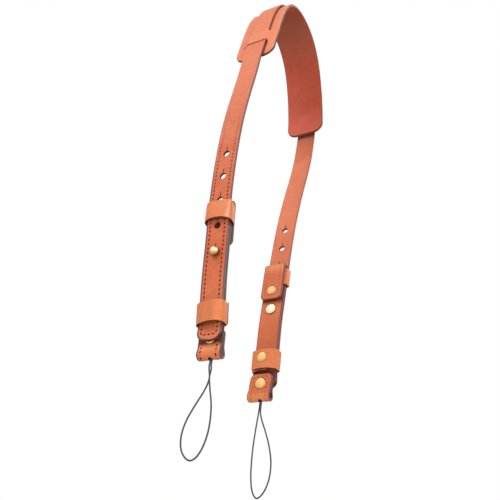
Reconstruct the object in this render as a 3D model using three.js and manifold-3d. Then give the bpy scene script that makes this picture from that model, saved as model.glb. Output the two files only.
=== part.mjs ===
/*
 * Leather neck strap for a camera, hanging over the middle of its shoulder pad with both arms down.
 *
 * Millimetres, +Z up, X across the strap. The left arm hangs at -Y and the right arm at +Y.
 * The origin is under the top of the arch, where the pad sits on whatever holds it up.
 *
 * All the leather follows one hang line. A place on it is given by
 *   along: distance on the line from the top of the arch, positive down the left arm,
 *   out:   distance from the line, away from the inside of the arch.
 */
import * as THREE from 'three';
import { mergeVertices } from 'three/addons/utils/BufferGeometryUtils.js';
import Module from 'manifold-3d';

const wasm = await Module();
wasm.setup();

// ---------------------------------------------------------------- driving dimensions

const GAP = 0.3; // kept between pieces that touch on the real strap

const STRAP = {
  width: 17,
  thick: 2,
  ride: 0.5, // how far its inner face stays above the hang line
  toTip: 392.2, // from the top of the arch to each rounded tip
  tipDepth: 5.8,
  tipCorner: 6.2,
  tipLift: 1.3, // the tip rides up on the cap of the cord rivet
  tipLiftRun: 12,
  aside: 0.6, // how far it lies off the pad's middle
  asideTo: 112, // where it starts to come back to the middle
  asideRun: 26,
};

const PAD = {
  width: 36,
  lining: 1.2, // inner layer
  face: 1.2, // outer layer, slotted for the strap
  leftEnd: 131,
  rightEnd: 121.5,
  corner: 9.5,
};

// the strap dives under the pad's outer layer for a short way near each end
const BRIDGE = {
  slotFromEnd: 18.4,
  slotWidth: 19.6,
  length: 13.8,
  footWidth: 31,
  topWidth: 20.6,
  ramp: 7, // run over which the strap climbs back onto the pad
};

const HOLES = { count: 5, pitch: 20, lowest: 329.3, diameter: 4.6, slit: 4, slitWidth: 0.9 };

const CONNECTOR = {
  thick: 2.1,
  topFold: 289.2, // where the upper fold turns over
  bottomFold: 402.2,
  upperTabTip: 322.4,
  lowerTabTip: 381.9,
  tabTipDepth: 3.6,
  eyeRadius: 1.5, // inside of the lower fold, which holds the cord
  eyeRun: 4.8, // length over which the eye opens
  cordHole: 3.4,
};

const KEEPER = {
  thick: 1.1,
  height: 15,
  upperTop: 291,
  lowerTop: 364.8,
  overlapTo: 4, // across the strap, where the end inside the lower keeper's overlap stops
};

// The inside of each keeper at its two rims. It is flat or bulged behind, and in front an arch that
// springs at the shoulder: squareness 2 is an ellipse, and a higher one hugs the strap.
const KEEPER_RIMS = {
  leftUpper: {
    top: { half: 8.9, front: 3.5, shoulder: 2.2, squareness: 3.2, backBulge: 0, backCorner: 0.6 },
    bottom: { half: 9.6, front: 5.4, shoulder: 1.4, squareness: 2.4, backBulge: 0, backCorner: 1 },
  },
  leftLower: {
    top: { half: 8.9, front: 6.1, shoulder: 1.9, squareness: 2.4, backBulge: 0, backCorner: 0.7 },
    bottom: { half: 8.9, front: 7.2, shoulder: 1.7, squareness: 2, backBulge: 0, backCorner: 0.7 },
  },
  rightUpper: {
    top: { half: 8.9, front: 3.9, shoulder: 2.2, squareness: 3.4, backBulge: 0, backCorner: 0.6 },
    bottom: { half: 9.3, front: 5.7, shoulder: 1.6, squareness: 2.4, backBulge: 0, backCorner: 1 },
  },
  rightLower: {
    top: { half: 9.1, front: 3.9, shoulder: 2.2, squareness: 3.4, backBulge: 2.4, backCorner: 1.4 },
    bottom: { half: 8.9, front: 4.1, shoulder: 2.2, squareness: 3.2, backBulge: 2.4, backCorner: 1.4 },
  },
};

// How far each keeper has slipped down the arm, and how it leans: `across` is its slope towards +X
// and `out` its slope outwards.
const KEEPER_LEAN = {
  leftUpper: { slip: 1.1, across: 0.04, out: -0.36 },
  leftLower: { slip: 0.1, across: -0.09, out: 0.04 },
  rightUpper: { slip: 1.3, across: 0.1, out: -0.22 },
  rightLower: { slip: -1, across: -0.02, out: 0 },
};

const STUD = { ball: 6, neck: 3.2, post: 3, base: 8, baseThick: 0.9, stand: -0.2 };

const RIVETS = {
  tab: { along: 315, cap: 8, capHeight: 0.8, frontHeight: 0.55, sunk: 0.6, shank: 2.6 },
  keeper: {
    across: 0.4,
    below: 6.6, // from the keeper's top rim
    cap: 7.6,
    capHeight: 0.8,
    frontCap: 5,
    frontHeight: 0.4,
    sunk: 0.5,
    shank: 2.6,
  },
  cord: { along: 389.4, cap: 8.2, capHeight: 0.9, frontCap: 7.6, frontHeight: 0.7, shank: 2.6 },
};

const CORD = { diameter: 1.1, sides: 8, steps: 36 };

// how far the middle of each arm drifts along X, at distances from the top of the arch
const DRIFT = [
  { from: 0, left: 0.1, right: 0.1 },
  { from: 60, left: 1.4, right: -0.3 },
  { from: 130, left: 1.1, right: 0.4 },
  { from: 240, left: 0.3, right: -0.4 },
  { from: 310, left: -0.2, right: 0 },
  { from: 350, left: -1.2, right: -1 },
  { from: 430, left: 0.6, right: -1.2 },
];

// slope of the hang line below level, in degrees, at distances from the top of the arch
const HANG = [
  { from: 0, left: 0, right: 0 },
  { from: 25, left: 35.9, right: 35 },
  { from: 50, left: 65.6, right: 61.6 },
  { from: 75, left: 79.3, right: 72.8 },
  { from: 105, left: 83, right: 82.6 },
  { from: 140, left: 85.4, right: 93 },
  { from: 180, left: 83.4, right: 101.7 },
  { from: 230, left: 89.3, right: 99 },
  { from: 290, left: 98, right: 93.7 },
  { from: 350, left: 100, right: 87.8 },
  { from: 430, left: 91.6, right: 89.7 },
];

// routes of the two cord loops: across the strap, below the lower fold, and front to back
const CORD_ROUTES = {
  left: [
    { across: -0.6, drop: -2.2, back: 0 },
    { across: -0.6, drop: 3, back: -0.1 },
    { across: -0.1, drop: 6, back: -0.6 },
    { across: 0.8, drop: 9.5, back: -0.6 },
    { across: 1.8, drop: 14.5, back: -0.7 },
    { across: 3.2, drop: 20.5, back: -0.5 },
    { across: 5.2, drop: 29, back: 0 },
    { across: 6.3, drop: 38, back: 0 },
    { across: 6.2, drop: 46, back: 0 },
    { across: 4.9, drop: 52.8, back: 0 },
    { across: 2.8, drop: 58, back: 0 },
    { across: 0, drop: 61.4, back: 0 },
    { across: -3, drop: 62.4, back: 0 },
    { across: -6.4, drop: 60.8, back: 0 },
    { across: -9.8, drop: 56.8, back: 0 },
    { across: -11.6, drop: 51.4, back: 0 },
    { across: -11.8, drop: 45.2, back: 0 },
    { across: -10.3, drop: 38.4, back: 0 },
    { across: -6.9, drop: 30.3, back: 0.3 },
    { across: -1.7, drop: 20, back: 0.6 },
    { across: 0.1, drop: 14.5, back: 0.7 },
    { across: 0.5, drop: 9.5, back: 0.6 },
    { across: 0.7, drop: 6, back: 0.6 },
    { across: 0.6, drop: 3, back: 0.1 },
    { across: 0.6, drop: -2.2, back: 0 },
  ],
  right: [
    { across: -0.6, drop: -2.2, back: 0 },
    { across: -0.6, drop: 3, back: 0 },
    { across: -0.65, drop: 7.5, back: 0 },
    { across: -1.3, drop: 18, back: 0 },
    { across: -1.8, drop: 30.5, back: 0 },
    { across: -1.6, drop: 42.2, back: 0 },
    { across: -0.7, drop: 52.4, back: 0 },
    { across: 1, drop: 60, back: 0 },
    { across: 3.2, drop: 64.1, back: 0 },
    { across: 5.4, drop: 65.5, back: 0 },
    { across: 8, drop: 64, back: 0 },
    { across: 10.9, drop: 59.6, back: 0 },
    { across: 12.8, drop: 52.8, back: 0 },
    { across: 12.9, drop: 43.2, back: 0 },
    { across: 10.4, drop: 32.5, back: 0 },
    { across: 6.2, drop: 21.6, back: 0 },
    { across: 2.3, drop: 13, back: 0 },
    { across: 0.7, drop: 7.5, back: 0 },
    { across: 0.6, drop: 3, back: 0 },
    { across: 0.6, drop: -2.2, back: 0 },
  ],
};

// ---------------------------------------------------------------- the hang line

const PAD_THICK = PAD.lining + PAD.face;
const LINE_STEP = 1;

/** Slope of one arm's line in radians, through the table's rows with a smooth turn at each. */
function slopeAt(arm, distance) {
  const last = HANG.length - 2;
  const i = Math.min(HANG.findLastIndex((row) => row.from <= distance), last);
  const rise = (k) => (HANG[k + 1][arm] - HANG[k][arm]) / (HANG[k + 1].from - HANG[k].from);
  const turn = (k) => (rise(Math.max(k - 1, 0)) + rise(Math.min(k, last))) / 2;
  const run = HANG[i + 1].from - HANG[i].from;
  const t = (distance - HANG[i].from) / run;
  const degrees =
    HANG[i][arm] * (1 + 2 * t) * (1 - t) ** 2 +
    HANG[i + 1][arm] * (3 - 2 * t) * t ** 2 +
    turn(i) * run * t * (1 - t) ** 2 -
    turn(i + 1) * run * (1 - t) * t ** 2;
  return THREE.MathUtils.degToRad(degrees);
}

/** Places on one arm's line, one for each step down from the top of the arch. */
function hangLine(arm) {
  const places = [{ reach: 0, height: PAD_THICK }];
  for (let distance = 0; distance < HANG.at(-1).from; distance += LINE_STEP) {
    const slope = slopeAt(arm, distance + LINE_STEP / 2);
    const { reach, height } = places.at(-1);
    places.push({
      reach: reach + LINE_STEP * Math.cos(slope),
      height: height - LINE_STEP * Math.sin(slope),
    });
  }
  return places;
}

const LINES = { left: hangLine('left'), right: hangLine('right') };

/** Sideways place of the middle of one arm. */
function driftAt(arm, distance) {
  const i = Math.min(DRIFT.findLastIndex((row) => row.from <= distance), DRIFT.length - 2);
  const [a, b] = [DRIFT[i], DRIFT[i + 1]];
  const t = THREE.MathUtils.smoothstep(distance, a.from, b.from);
  return THREE.MathUtils.lerp(a[arm], b[arm], t);
}

/** The frame at a place: X across the strap, Y outwards, Z down the left arm or up the right one. */
function frameAt(along, out = 0, across = 0) {
  const arm = along < 0 ? 'right' : 'left';
  const side = along < 0 ? 1 : -1;
  const distance = Math.abs(along);
  const i = Math.min(Math.floor(distance / LINE_STEP), LINES[arm].length - 2);
  const t = distance / LINE_STEP - i;
  const [a, b] = [LINES[arm][i], LINES[arm][i + 1]];
  const slope = slopeAt(arm, distance);
  const outward = new THREE.Vector3(0, side * Math.sin(slope), Math.cos(slope));
  const acrossStrap = new THREE.Vector3(1, 0, 0);
  const origin = new THREE.Vector3(
    across + driftAt(arm, distance),
    side * THREE.MathUtils.lerp(a.reach, b.reach, t),
    THREE.MathUtils.lerp(a.height, b.height, t),
  ).addScaledVector(outward, out);
  return new THREE.Matrix4()
    .makeBasis(acrossStrap, outward, acrossStrap.clone().cross(outward))
    .setPosition(origin);
}

const placeAt = (along, out, across) =>
  new THREE.Vector3().setFromMatrixPosition(frameAt(along, out, across));

// ---------------------------------------------------------------- making solids

/** A closed solid through rings of points. Each ring turns anticlockwise seen from the next one. */
function loft(rings, { closed = false } = {}) {
  const size = rings[0].length;
  const positions = rings.flat().flatMap((p) => [p.x, p.y, p.z]);
  const indices = [];
  const joins = closed ? rings.length : rings.length - 1;
  for (let i = 0; i < joins; i++) {
    for (let j = 0; j < size; j++) {
      const next = (i + 1) % rings.length;
      const a = i * size + j;
      const b = i * size + ((j + 1) % size);
      const c = next * size + ((j + 1) % size);
      const d = next * size + j;
      indices.push(a, b, c, a, c, d);
    }
  }
  if (!closed) {
    const end = (rings.length - 1) * size;
    for (let j = 1; j < size - 1; j++) {
      indices.push(0, j + 1, j, end, end + j, end + j + 1);
    }
  }
  const geometry = new THREE.BufferGeometry();
  geometry.setAttribute('position', new THREE.Float32BufferAttribute(positions, 3));
  geometry.setIndex(indices);
  return geometry;
}

/** A strip of leather along a spine of { along, out, aside } points, with its half width at each. */
function strip(spine, thick, halfAt) {
  const rings = spine.map((point, i) => {
    const before = spine[Math.max(i - 1, 0)];
    const after = spine[Math.min(i + 1, spine.length - 1)];
    const way = new THREE.Vector2(after.along - before.along, after.out - before.out).normalize();
    const half = halfAt(point, i);
    const { along, out, aside = 0 } = point;
    const corner = (across, lift) =>
      placeAt(along - way.y * lift, out + way.x * lift, aside + across);
    return [
      corner(-half, -thick / 2),
      corner(half, -thick / 2),
      corner(half, thick / 2),
      corner(-half, thick / 2),
    ];
  });
  return loft(rings);
}

/** Half width of a strip at a distance from its rounded end. */
function roundedHalf(half, fromEnd, depth, corner = half) {
  const left = Math.max(1 - Math.max(fromEnd, 0) / depth, 0);
  return half - corner + corner * Math.sqrt(Math.max(1 - left ** 2, 0));
}

/** Distances from one end of a strip to the other, closer together at its rounded ends. */
function stations(from, to, step) {
  const endSteps = [0.15, 0.9, 2.2, 4];
  const found = [...endSteps.map((s) => from + s)];
  const count = Math.round((to - from - 12) / step);
  for (let i = 0; i <= count; i++) found.push(from + 6 + ((to - from - 12) * i) / count);
  found.push(...endSteps.toReversed().map((s) => to - s));
  return found;
}

function toManifold(geometry) {
  const bare = geometry.clone();
  bare.deleteAttribute('normal');
  bare.deleteAttribute('uv');
  const merged = mergeVertices(bare, 1e-5);
  return new wasm.Manifold(
    new wasm.Mesh({
      numProp: 3,
      vertProperties: Float32Array.from(merged.attributes.position.array),
      triVerts: Uint32Array.from(merged.index.array),
    }),
  );
}

function toGeometry(manifold) {
  const mesh = manifold.getMesh();
  const geometry = new THREE.BufferGeometry();
  geometry.setAttribute('position', new THREE.BufferAttribute(mesh.vertProperties, 3));
  geometry.setIndex(new THREE.BufferAttribute(mesh.triVerts, 1));
  return geometry;
}

/** The base geometry with others joined to it and then others cut from it. */
function combine(base, { add = [], cut = [] }) {
  let solid = toManifold(base);
  for (const geometry of add) solid = solid.add(toManifold(geometry));
  for (const geometry of cut) solid = solid.subtract(toManifold(geometry));
  return toGeometry(solid);
}

/** A turned solid from { radius, height } points that start and end on the axis. */
function turned(profile, sides, frame) {
  const points = profile.map(({ radius, height }) => new THREE.Vector2(radius, height));
  return new THREE.LatheGeometry(points, sides).applyMatrix4(frame);
}

/** A round punch through a strip, from one distance outwards to another. */
function punch({ along, from, to, diameter, sides = 16 }) {
  const geometry = new THREE.CylinderGeometry(diameter / 2, diameter / 2, to - from, sides);
  return geometry.applyMatrix4(frameAt(along, (from + to) / 2));
}

// ---------------------------------------------------------------- main strap

const padEnd = (side) => (side > 0 ? PAD.leftEnd : PAD.rightEnd);
const slotAt = (side) => padEnd(side) - BRIDGE.slotFromEnd;

/** Inner face of the main strap: over the pad, under its two bridges, and up at the tips. */
function strapRide(along) {
  const side = along < 0 ? -1 : 1;
  const distance = Math.abs(along);
  const middle = slotAt(side) - BRIDGE.length / 2;
  const pastBridge = Math.abs(distance - middle) - BRIDGE.length / 2 + BRIDGE.ramp / 2;
  const dipped = 1 - THREE.MathUtils.smoothstep(pastBridge, 0, BRIDGE.ramp);
  const liftFrom = STRAP.toTip - STRAP.tipLiftRun;
  const lifted = THREE.MathUtils.smoothstep(distance, liftFrom, liftFrom + STRAP.tipLiftRun * 0.8);
  return STRAP.ride - dipped * PAD.face + lifted * STRAP.tipLift;
}

/** How far the main strap lies off the middle of its arm. */
function strapAside(along) {
  const back = THREE.MathUtils.smoothstep(Math.abs(along) - STRAP.asideTo, 0, STRAP.asideRun);
  return STRAP.aside * (1 - back);
}

/** A keyhole: a round hole with a slit that lets the stud's head in from the pad's side. */
function keyhole(side, distance) {
  const [from, to] = [-GAP, STRAP.thick + 2];
  const along = side * distance;
  const slit = new THREE.BoxGeometry(HOLES.slitWidth, to - from, HOLES.slit);
  const slitAt = side * (distance - HOLES.diameter / 2 - HOLES.slit / 2 + GAP);
  return [
    punch({ along, from, to, diameter: HOLES.diameter, sides: 18 }),
    slit.applyMatrix4(frameAt(slitAt, (from + to) / 2)),
  ];
}

function mainStrap() {
  const half = STRAP.width / 2;
  const spine = stations(-STRAP.toTip, STRAP.toTip, 5).map((along) => ({
    along,
    out: strapRide(along) + STRAP.thick / 2,
    aside: strapAside(along),
  }));
  const band = strip(spine, STRAP.thick, ({ along }) =>
    roundedHalf(half, STRAP.toTip - Math.abs(along), STRAP.tipDepth, STRAP.tipCorner),
  );
  const holes = [];
  for (const side of [1, -1]) {
    for (let i = 0; i < HOLES.count; i++) {
      holes.push(...keyhole(side, HOLES.lowest - i * HOLES.pitch));
    }
  }
  return combine(band, { cut: holes });
}

// ---------------------------------------------------------------- shoulder pad

/** The raised stretch of the outer layer that holds the strap down. */
function bridge(side) {
  const top = STRAP.ride - PAD.face + STRAP.thick + GAP + PAD.face;
  const section = [
    { across: -BRIDGE.footWidth / 2, out: -PAD.face / 2 },
    { across: BRIDGE.footWidth / 2, out: -PAD.face / 2 },
    { across: BRIDGE.topWidth / 2 + 1, out: top - 0.6 },
    { across: BRIDGE.topWidth / 2, out: top },
    { across: -BRIDGE.topWidth / 2, out: top },
    { across: -BRIDGE.topWidth / 2 - 1, out: top - 0.6 },
  ];
  const ends = [side * (slotAt(side) - BRIDGE.length), side * slotAt(side)].sort((a, b) => a - b);
  const rings = [];
  for (let i = 0; i <= 4; i++) {
    const along = THREE.MathUtils.lerp(...ends, i / 4);
    rings.push(section.map(({ across, out }) => placeAt(along, out, across)));
  }
  return loft(rings);
}

/** The room that the main strap takes at one bridge. */
function bridgeChannel(side) {
  const middle = slotAt(side) - BRIDGE.length / 2;
  const reach = BRIDGE.length / 2 + BRIDGE.ramp;
  const ends = [side * (middle - reach), side * (middle + reach)].sort((a, b) => a - b);
  const spine = [];
  for (let i = 0; i <= 14; i++) {
    const along = THREE.MathUtils.lerp(...ends, i / 14);
    spine.push({ along, out: strapRide(along) + STRAP.thick / 2 });
  }
  return strip(spine, STRAP.thick + 2 * GAP, () => BRIDGE.slotWidth / 2);
}

function shoulderPad() {
  const spine = stations(-PAD.rightEnd, PAD.leftEnd, 5).map((along) => ({
    along,
    out: -PAD_THICK / 2,
  }));
  const slab = strip(spine, PAD_THICK, ({ along }) => {
    const fromEnd = Math.min(PAD.leftEnd - along, along + PAD.rightEnd);
    return roundedHalf(PAD.width / 2, fromEnd, PAD.corner, PAD.corner);
  });
  return combine(slab, {
    add: [bridge(1), bridge(-1)],
    cut: [bridgeChannel(1), bridgeChannel(-1)],
  });
}

// ---------------------------------------------------------------- connector strap

const CONNECTOR_OUT = -CONNECTOR.thick / 2; // middle of the connector's long run
const KEEPER_BACK = -CONNECTOR.thick - GAP; // face of the keeper's back, behind the connector
const UPPER_TAB_OUT = KEEPER_BACK - KEEPER.thick - GAP - CONNECTOR.thick / 2;
const LOWER_TAB_OUT = -CONNECTOR.thick - GAP - CONNECTOR.thick / 2;

/** The connector's middle line: upper tab up, over the keeper, down, round the cord, tab up. */
function connectorSpine(side) {
  const spine = [];
  const add = (distance, out) => spine.push({ along: side * distance, out });
  const arc = (distance, out, radius, from, to, steps) => {
    for (let i = 0; i <= steps; i++) {
      const angle = THREE.MathUtils.lerp(from, to, i / steps);
      add(distance + radius * Math.cos(angle), out + radius * Math.sin(angle));
    }
  };
  const straight = (from, to, out, step) => {
    const count = Math.max(Math.round(Math.abs(to - from) / step), 1);
    for (let i = 0; i < count; i++) add(THREE.MathUtils.lerp(from, to, i / count), out);
  };
  const tabEnd = [0.15, 0.9, 2.2, 4];

  const topRadius = (CONNECTOR_OUT - UPPER_TAB_OUT) / 2;
  const topCentre = CONNECTOR.topFold + topRadius + CONNECTOR.thick / 2;
  const topMiddle = (CONNECTOR_OUT + UPPER_TAB_OUT) / 2;
  tabEnd.forEach((s) => add(CONNECTOR.upperTabTip - s, UPPER_TAB_OUT));
  straight(CONNECTOR.upperTabTip - 6, topCentre + 1, UPPER_TAB_OUT, 6);
  arc(topCentre, topMiddle, topRadius, -Math.PI / 2, (-3 * Math.PI) / 2, 8);

  const eye = CONNECTOR.eyeRadius + CONNECTOR.thick / 2;
  const eyeCentre = CONNECTOR.bottomFold - eye - CONNECTOR.thick / 2;
  const eyeMiddle = (CONNECTOR_OUT + LOWER_TAB_OUT) / 2;
  const neck = eyeCentre - CONNECTOR.eyeRun;
  straight(topCentre + 4, neck, CONNECTOR_OUT, 6);
  const swell = (t) => THREE.MathUtils.smoothstep(t, 0, 1);
  for (let i = 0; i < 4; i++) {
    const out = THREE.MathUtils.lerp(CONNECTOR_OUT, eyeMiddle + eye, swell(i / 4));
    add(THREE.MathUtils.lerp(neck, eyeCentre, i / 4), out);
  }
  arc(eyeCentre, eyeMiddle, eye, Math.PI / 2, -Math.PI / 2, 10);
  for (let i = 3; i >= 0; i--) {
    const out = THREE.MathUtils.lerp(LOWER_TAB_OUT, eyeMiddle - eye, swell(i / 4));
    add(THREE.MathUtils.lerp(neck, eyeCentre, i / 4), out);
  }
  tabEnd.toReversed().forEach((s) => add(CONNECTOR.lowerTabTip + s, LOWER_TAB_OUT));
  return spine;
}

function connector(side) {
  const spine = connectorSpine(side);
  const lengths = [0];
  for (let i = 1; i < spine.length; i++) {
    const [a, b] = [spine[i - 1], spine[i]];
    lengths.push(lengths[i - 1] + Math.hypot(b.along - a.along, b.out - a.out));
  }
  const band = strip(spine, CONNECTOR.thick, (_, i) => {
    const fromEnd = Math.min(lengths[i], lengths.at(-1) - lengths[i]) + 0.15;
    return roundedHalf(STRAP.width / 2, fromEnd, CONNECTOR.tabTipDepth, STRAP.width / 4);
  });
  const rivetHole = ({ along, shank }, from) =>
    punch({ along: side * along, from, to: 1, diameter: shank + 2 * GAP });
  const cordHole = new THREE.CylinderGeometry(
    CONNECTOR.cordHole / 2,
    CONNECTOR.cordHole / 2,
    2 * CONNECTOR.thick + CONNECTOR.eyeRadius,
    16,
  ).rotateX(Math.PI / 2);
  const eyeMiddle = (CONNECTOR_OUT + LOWER_TAB_OUT) / 2;
  return combine(band, {
    cut: [
      punch({ along: side * HOLES.lowest, from: -4, to: 1, diameter: STUD.post + 2 * GAP }),
      rivetHole(RIVETS.tab, UPPER_TAB_OUT - 2),
      rivetHole(RIVETS.cord, LOWER_TAB_OUT - 2),
      // the front cap of the tab rivet is set into the leather
      punch({
        along: side * RIVETS.tab.along,
        from: -RIVETS.tab.sunk - GAP,
        to: 1,
        diameter: RIVETS.tab.cap + 2 * GAP,
      }),
      cordHole.applyMatrix4(frameAt(side * CONNECTOR.bottomFold, eyeMiddle)),
    ],
  });
}

// ---------------------------------------------------------------- keepers

const FRONT_OF_STRAP = STRAP.ride + STRAP.thick;
const LOWER_KEEPER_BACK = KEEPER_BACK - 0.2; // leaves room for the rivet's inner cap
const KEEPER_ROWS = 3;
const ARCH_STEPS = 12;
const BACK_STEPS = 6;

/** A keeper's rim a part `t` of the way from its top to its bottom. */
function rimAt({ top, bottom }, t) {
  const names = Object.keys(top);
  return Object.fromEntries(names.map((n) => [n, THREE.MathUtils.lerp(top[n], bottom[n], t)]));
}

/** How far out the inside of a keeper's back is, at a place across the strap. */
function backAt(rim, back, across) {
  return back - rim.backBulge * Math.cos((Math.PI / 2) * Math.min(Math.abs(across) / rim.half, 1));
}

/** Outline of a keeper as { across, out }, anticlockwise, grown by `thick` from its inside. */
function keeperSection(rim, back, thick, overlap) {
  const half = rim.half + thick;
  const points = [];
  for (let i = 0; i <= ARCH_STEPS; i++) {
    const angle = (Math.PI * i) / ARCH_STEPS;
    const power = 2 / rim.squareness;
    points.push({
      across: half * Math.sign(Math.cos(angle)) * Math.abs(Math.cos(angle)) ** power,
      out: rim.shoulder + (rim.front + thick - rim.shoulder) * Math.sin(angle) ** power,
    });
  }
  const radius = rim.backCorner + thick;
  const corner = (sign, from) => {
    for (let i = 0; i <= 2; i++) {
      const angle = from + (Math.PI / 4) * i;
      points.push({
        across: sign * (half - radius) + radius * Math.cos(angle),
        out: back + rim.backCorner + radius * Math.sin(angle),
      });
    }
  };
  const inset = (across) => (overlap && across * overlap < KEEPER.overlapTo ? KEEPER.thick : 0);
  const backPoint = (across, step) => {
    points.push({ across, out: backAt(rim, back, across) - thick + step });
  };
  corner(-1, Math.PI);
  for (let i = 1; i < BACK_STEPS; i++) {
    const across = (half - radius) * ((2 * i) / BACK_STEPS - 1);
    backPoint(across, thick ? 0 : inset(across));
  }
  corner(1, (3 * Math.PI) / 2);
  return points;
}

/** A leather loop around the main strap and the connector. */
function keeperLoop(side, top, back, rims, lean, overlap = 0) {
  const rows = Array.from({ length: KEEPER_ROWS + 1 }, (_, i) => {
    const t = i / KEEPER_ROWS;
    const middle = top + lean.slip + KEEPER.height * t;
    const wall = (thick) =>
      keeperSection(rimAt(rims, t), back, thick, overlap).map(({ across, out }) =>
        placeAt(side * (middle + lean.across * across + lean.out * out), out, across),
      );
    return { outer: wall(KEEPER.thick), inner: wall(0) };
  });
  const upwards = side > 0 ? rows.toReversed() : rows;
  const rings = rows[0].outer.map((_, j) => [
    ...upwards.map((row) => row.outer[j]),
    ...upwards.toReversed().map((row) => row.inner[j]),
  ]);
  return loft(rings, { closed: true });
}

function upperKeeper(side, arm) {
  const name = `${arm}Upper`;
  return keeperLoop(side, KEEPER.upperTop, KEEPER_BACK, KEEPER_RIMS[name], KEEPER_LEAN[name]);
}

/** The frame of the lower keeper's rivet, square to the keeper's back where the ends overlap. */
function keeperRivetFrame(side, arm) {
  const rim = rimAt(KEEPER_RIMS[`${arm}Lower`], RIVETS.keeper.below / KEEPER.height);
  const outAt = (across) => backAt(rim, LOWER_KEEPER_BACK - KEEPER.thick, across);
  const { slip } = KEEPER_LEAN[`${arm}Lower`];
  const along = side * (KEEPER.lowerTop + slip + RIVETS.keeper.below);
  const across = side * RIVETS.keeper.across;
  const tilt = Math.atan(outAt(across + 0.5) - outAt(across - 0.5));
  const turn = new THREE.Matrix4().makeRotationZ(tilt);
  return frameAt(along, outAt(across), across).multiply(turn);
}

/** The lower keeper's two ends overlap at the back on one side, where a rivet joins them. */
function lowerKeeper(side, arm) {
  const name = `${arm}Lower`;
  const back = LOWER_KEEPER_BACK - KEEPER.thick;
  const frame = keeperRivetFrame(side, arm);
  const bore = (diameter, from, to) =>
    new THREE.CylinderGeometry(diameter / 2 + GAP, diameter / 2 + GAP, to - from, 16)
      .translate(0, (from + to) / 2, 0)
      .applyMatrix4(frame);
  const { shank, frontCap, sunk } = RIVETS.keeper;
  const reach = 3 * KEEPER.thick;
  const loop = keeperLoop(
    side,
    KEEPER.lowerTop,
    back,
    KEEPER_RIMS[name],
    KEEPER_LEAN[name],
    -side,
  );
  return combine(loop, {
    cut: [bore(shank, -reach, reach), bore(frontCap, KEEPER.thick - sunk, reach)],
  });
}

// ---------------------------------------------------------------- brass

const TURNED_SIDES = 18;

/** A rivet from its inner cap, at `back`, to its outer cap, at `front`, of its frame. */
function rivet(frame, back, front, { cap, capHeight, frontCap = cap, frontHeight, shank }) {
  const radius = cap / 2;
  const frontRadius = frontCap / 2;
  const dome = [
    { radius: 0, height: back - capHeight },
    { radius: radius * 0.5, height: back - capHeight * 0.93 },
    { radius: radius * 0.85, height: back - capHeight * 0.62 },
    { radius, height: back - capHeight * 0.2 },
    { radius: radius * 0.97, height: back },
    { radius: shank / 2, height: back },
    { radius: shank / 2, height: front },
    { radius: frontRadius, height: front },
    { radius: frontRadius * 0.97, height: front + frontHeight * 0.7 },
    { radius: frontRadius * 0.78, height: front + frontHeight },
    { radius: 0, height: front + frontHeight },
  ];
  return turned(dome, TURNED_SIDES, frame);
}

function tabRivet(side) {
  const back = UPPER_TAB_OUT - CONNECTOR.thick / 2 - GAP;
  return rivet(frameAt(side * RIVETS.tab.along), back, -RIVETS.tab.sunk, RIVETS.tab);
}

function keeperRivet(side, arm) {
  const front = KEEPER.thick - RIVETS.keeper.sunk + GAP;
  return rivet(keeperRivetFrame(side, arm), -KEEPER.thick - GAP, front, RIVETS.keeper);
}

function cordRivet(side) {
  const back = LOWER_TAB_OUT - CONNECTOR.thick / 2 - GAP;
  return rivet(frameAt(side * RIVETS.cord.along), back, GAP, RIVETS.cord);
}

/** A ball stud: a flat base behind the connector, a post, and a ball in front of the strap. */
function stud(side) {
  const back = -CONNECTOR.thick - GAP;
  const seat = FRONT_OF_STRAP + STUD.stand;
  const radius = STUD.ball / 2;
  const centre = seat + Math.sqrt(radius ** 2 - (STUD.neck / 2) ** 2);
  const profile = [
    { radius: 0, height: back - STUD.baseThick },
    { radius: STUD.base / 2 - 0.3, height: back - STUD.baseThick },
    { radius: STUD.base / 2, height: back - STUD.baseThick + 0.3 },
    { radius: STUD.base / 2, height: back },
    { radius: STUD.post / 2, height: back },
    { radius: STUD.post / 2, height: STRAP.ride },
    { radius: STUD.neck / 2, height: STRAP.ride },
  ];
  const from = -Math.acos(STUD.neck / STUD.ball);
  for (let i = 0; i <= 9; i++) {
    const angle = THREE.MathUtils.lerp(from, Math.PI / 2, i / 9);
    profile.push({
      radius: i === 9 ? 0 : radius * Math.cos(angle),
      height: centre + radius * Math.sin(angle),
    });
  }
  return turned(profile, TURNED_SIDES, frameAt(side * HOLES.lowest));
}

// ---------------------------------------------------------------- cord loops

function cordLoop(side, arm) {
  const eyeMiddle = (CONNECTOR_OUT + LOWER_TAB_OUT) / 2;
  const fold = placeAt(side * CONNECTOR.bottomFold, eyeMiddle, 0);
  const route = CORD_ROUTES[arm].map(
    ({ across, drop, back }) => new THREE.Vector3(fold.x + across, fold.y + back, fold.z - drop),
  );
  const section = new THREE.Shape();
  for (let i = 0; i < CORD.sides; i++) {
    const angle = (2 * Math.PI * i) / CORD.sides;
    const [x, y] = [Math.cos(angle), Math.sin(angle)].map((v) => (v * CORD.diameter) / 2);
    if (i === 0) section.moveTo(x, y);
    else section.lineTo(x, y);
  }
  return new THREE.ExtrudeGeometry(section, {
    steps: CORD.steps,
    extrudePath: new THREE.CatmullRomCurve3(route, false, 'centripetal'),
    bevelEnabled: false,
  });
}

// ---------------------------------------------------------------- materials and assembly

const FINISH = {
  leather: new THREE.MeshStandardMaterial({ color: 0xd9774f, roughness: 0.55, metalness: 0 }),
  padLeather: new THREE.MeshStandardMaterial({ color: 0xe09a78, roughness: 0.6, metalness: 0 }),
  keeperLeather: new THREE.MeshStandardMaterial({ color: 0xe6935f, roughness: 0.5, metalness: 0 }),
  brass: new THREE.MeshStandardMaterial({ color: 0xf0cf85, roughness: 0.25, metalness: 1 }),
  cord: new THREE.MeshStandardMaterial({ color: 0x2b2b2e, roughness: 0.7, metalness: 0 }),
};

const model = new THREE.Group();

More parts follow.
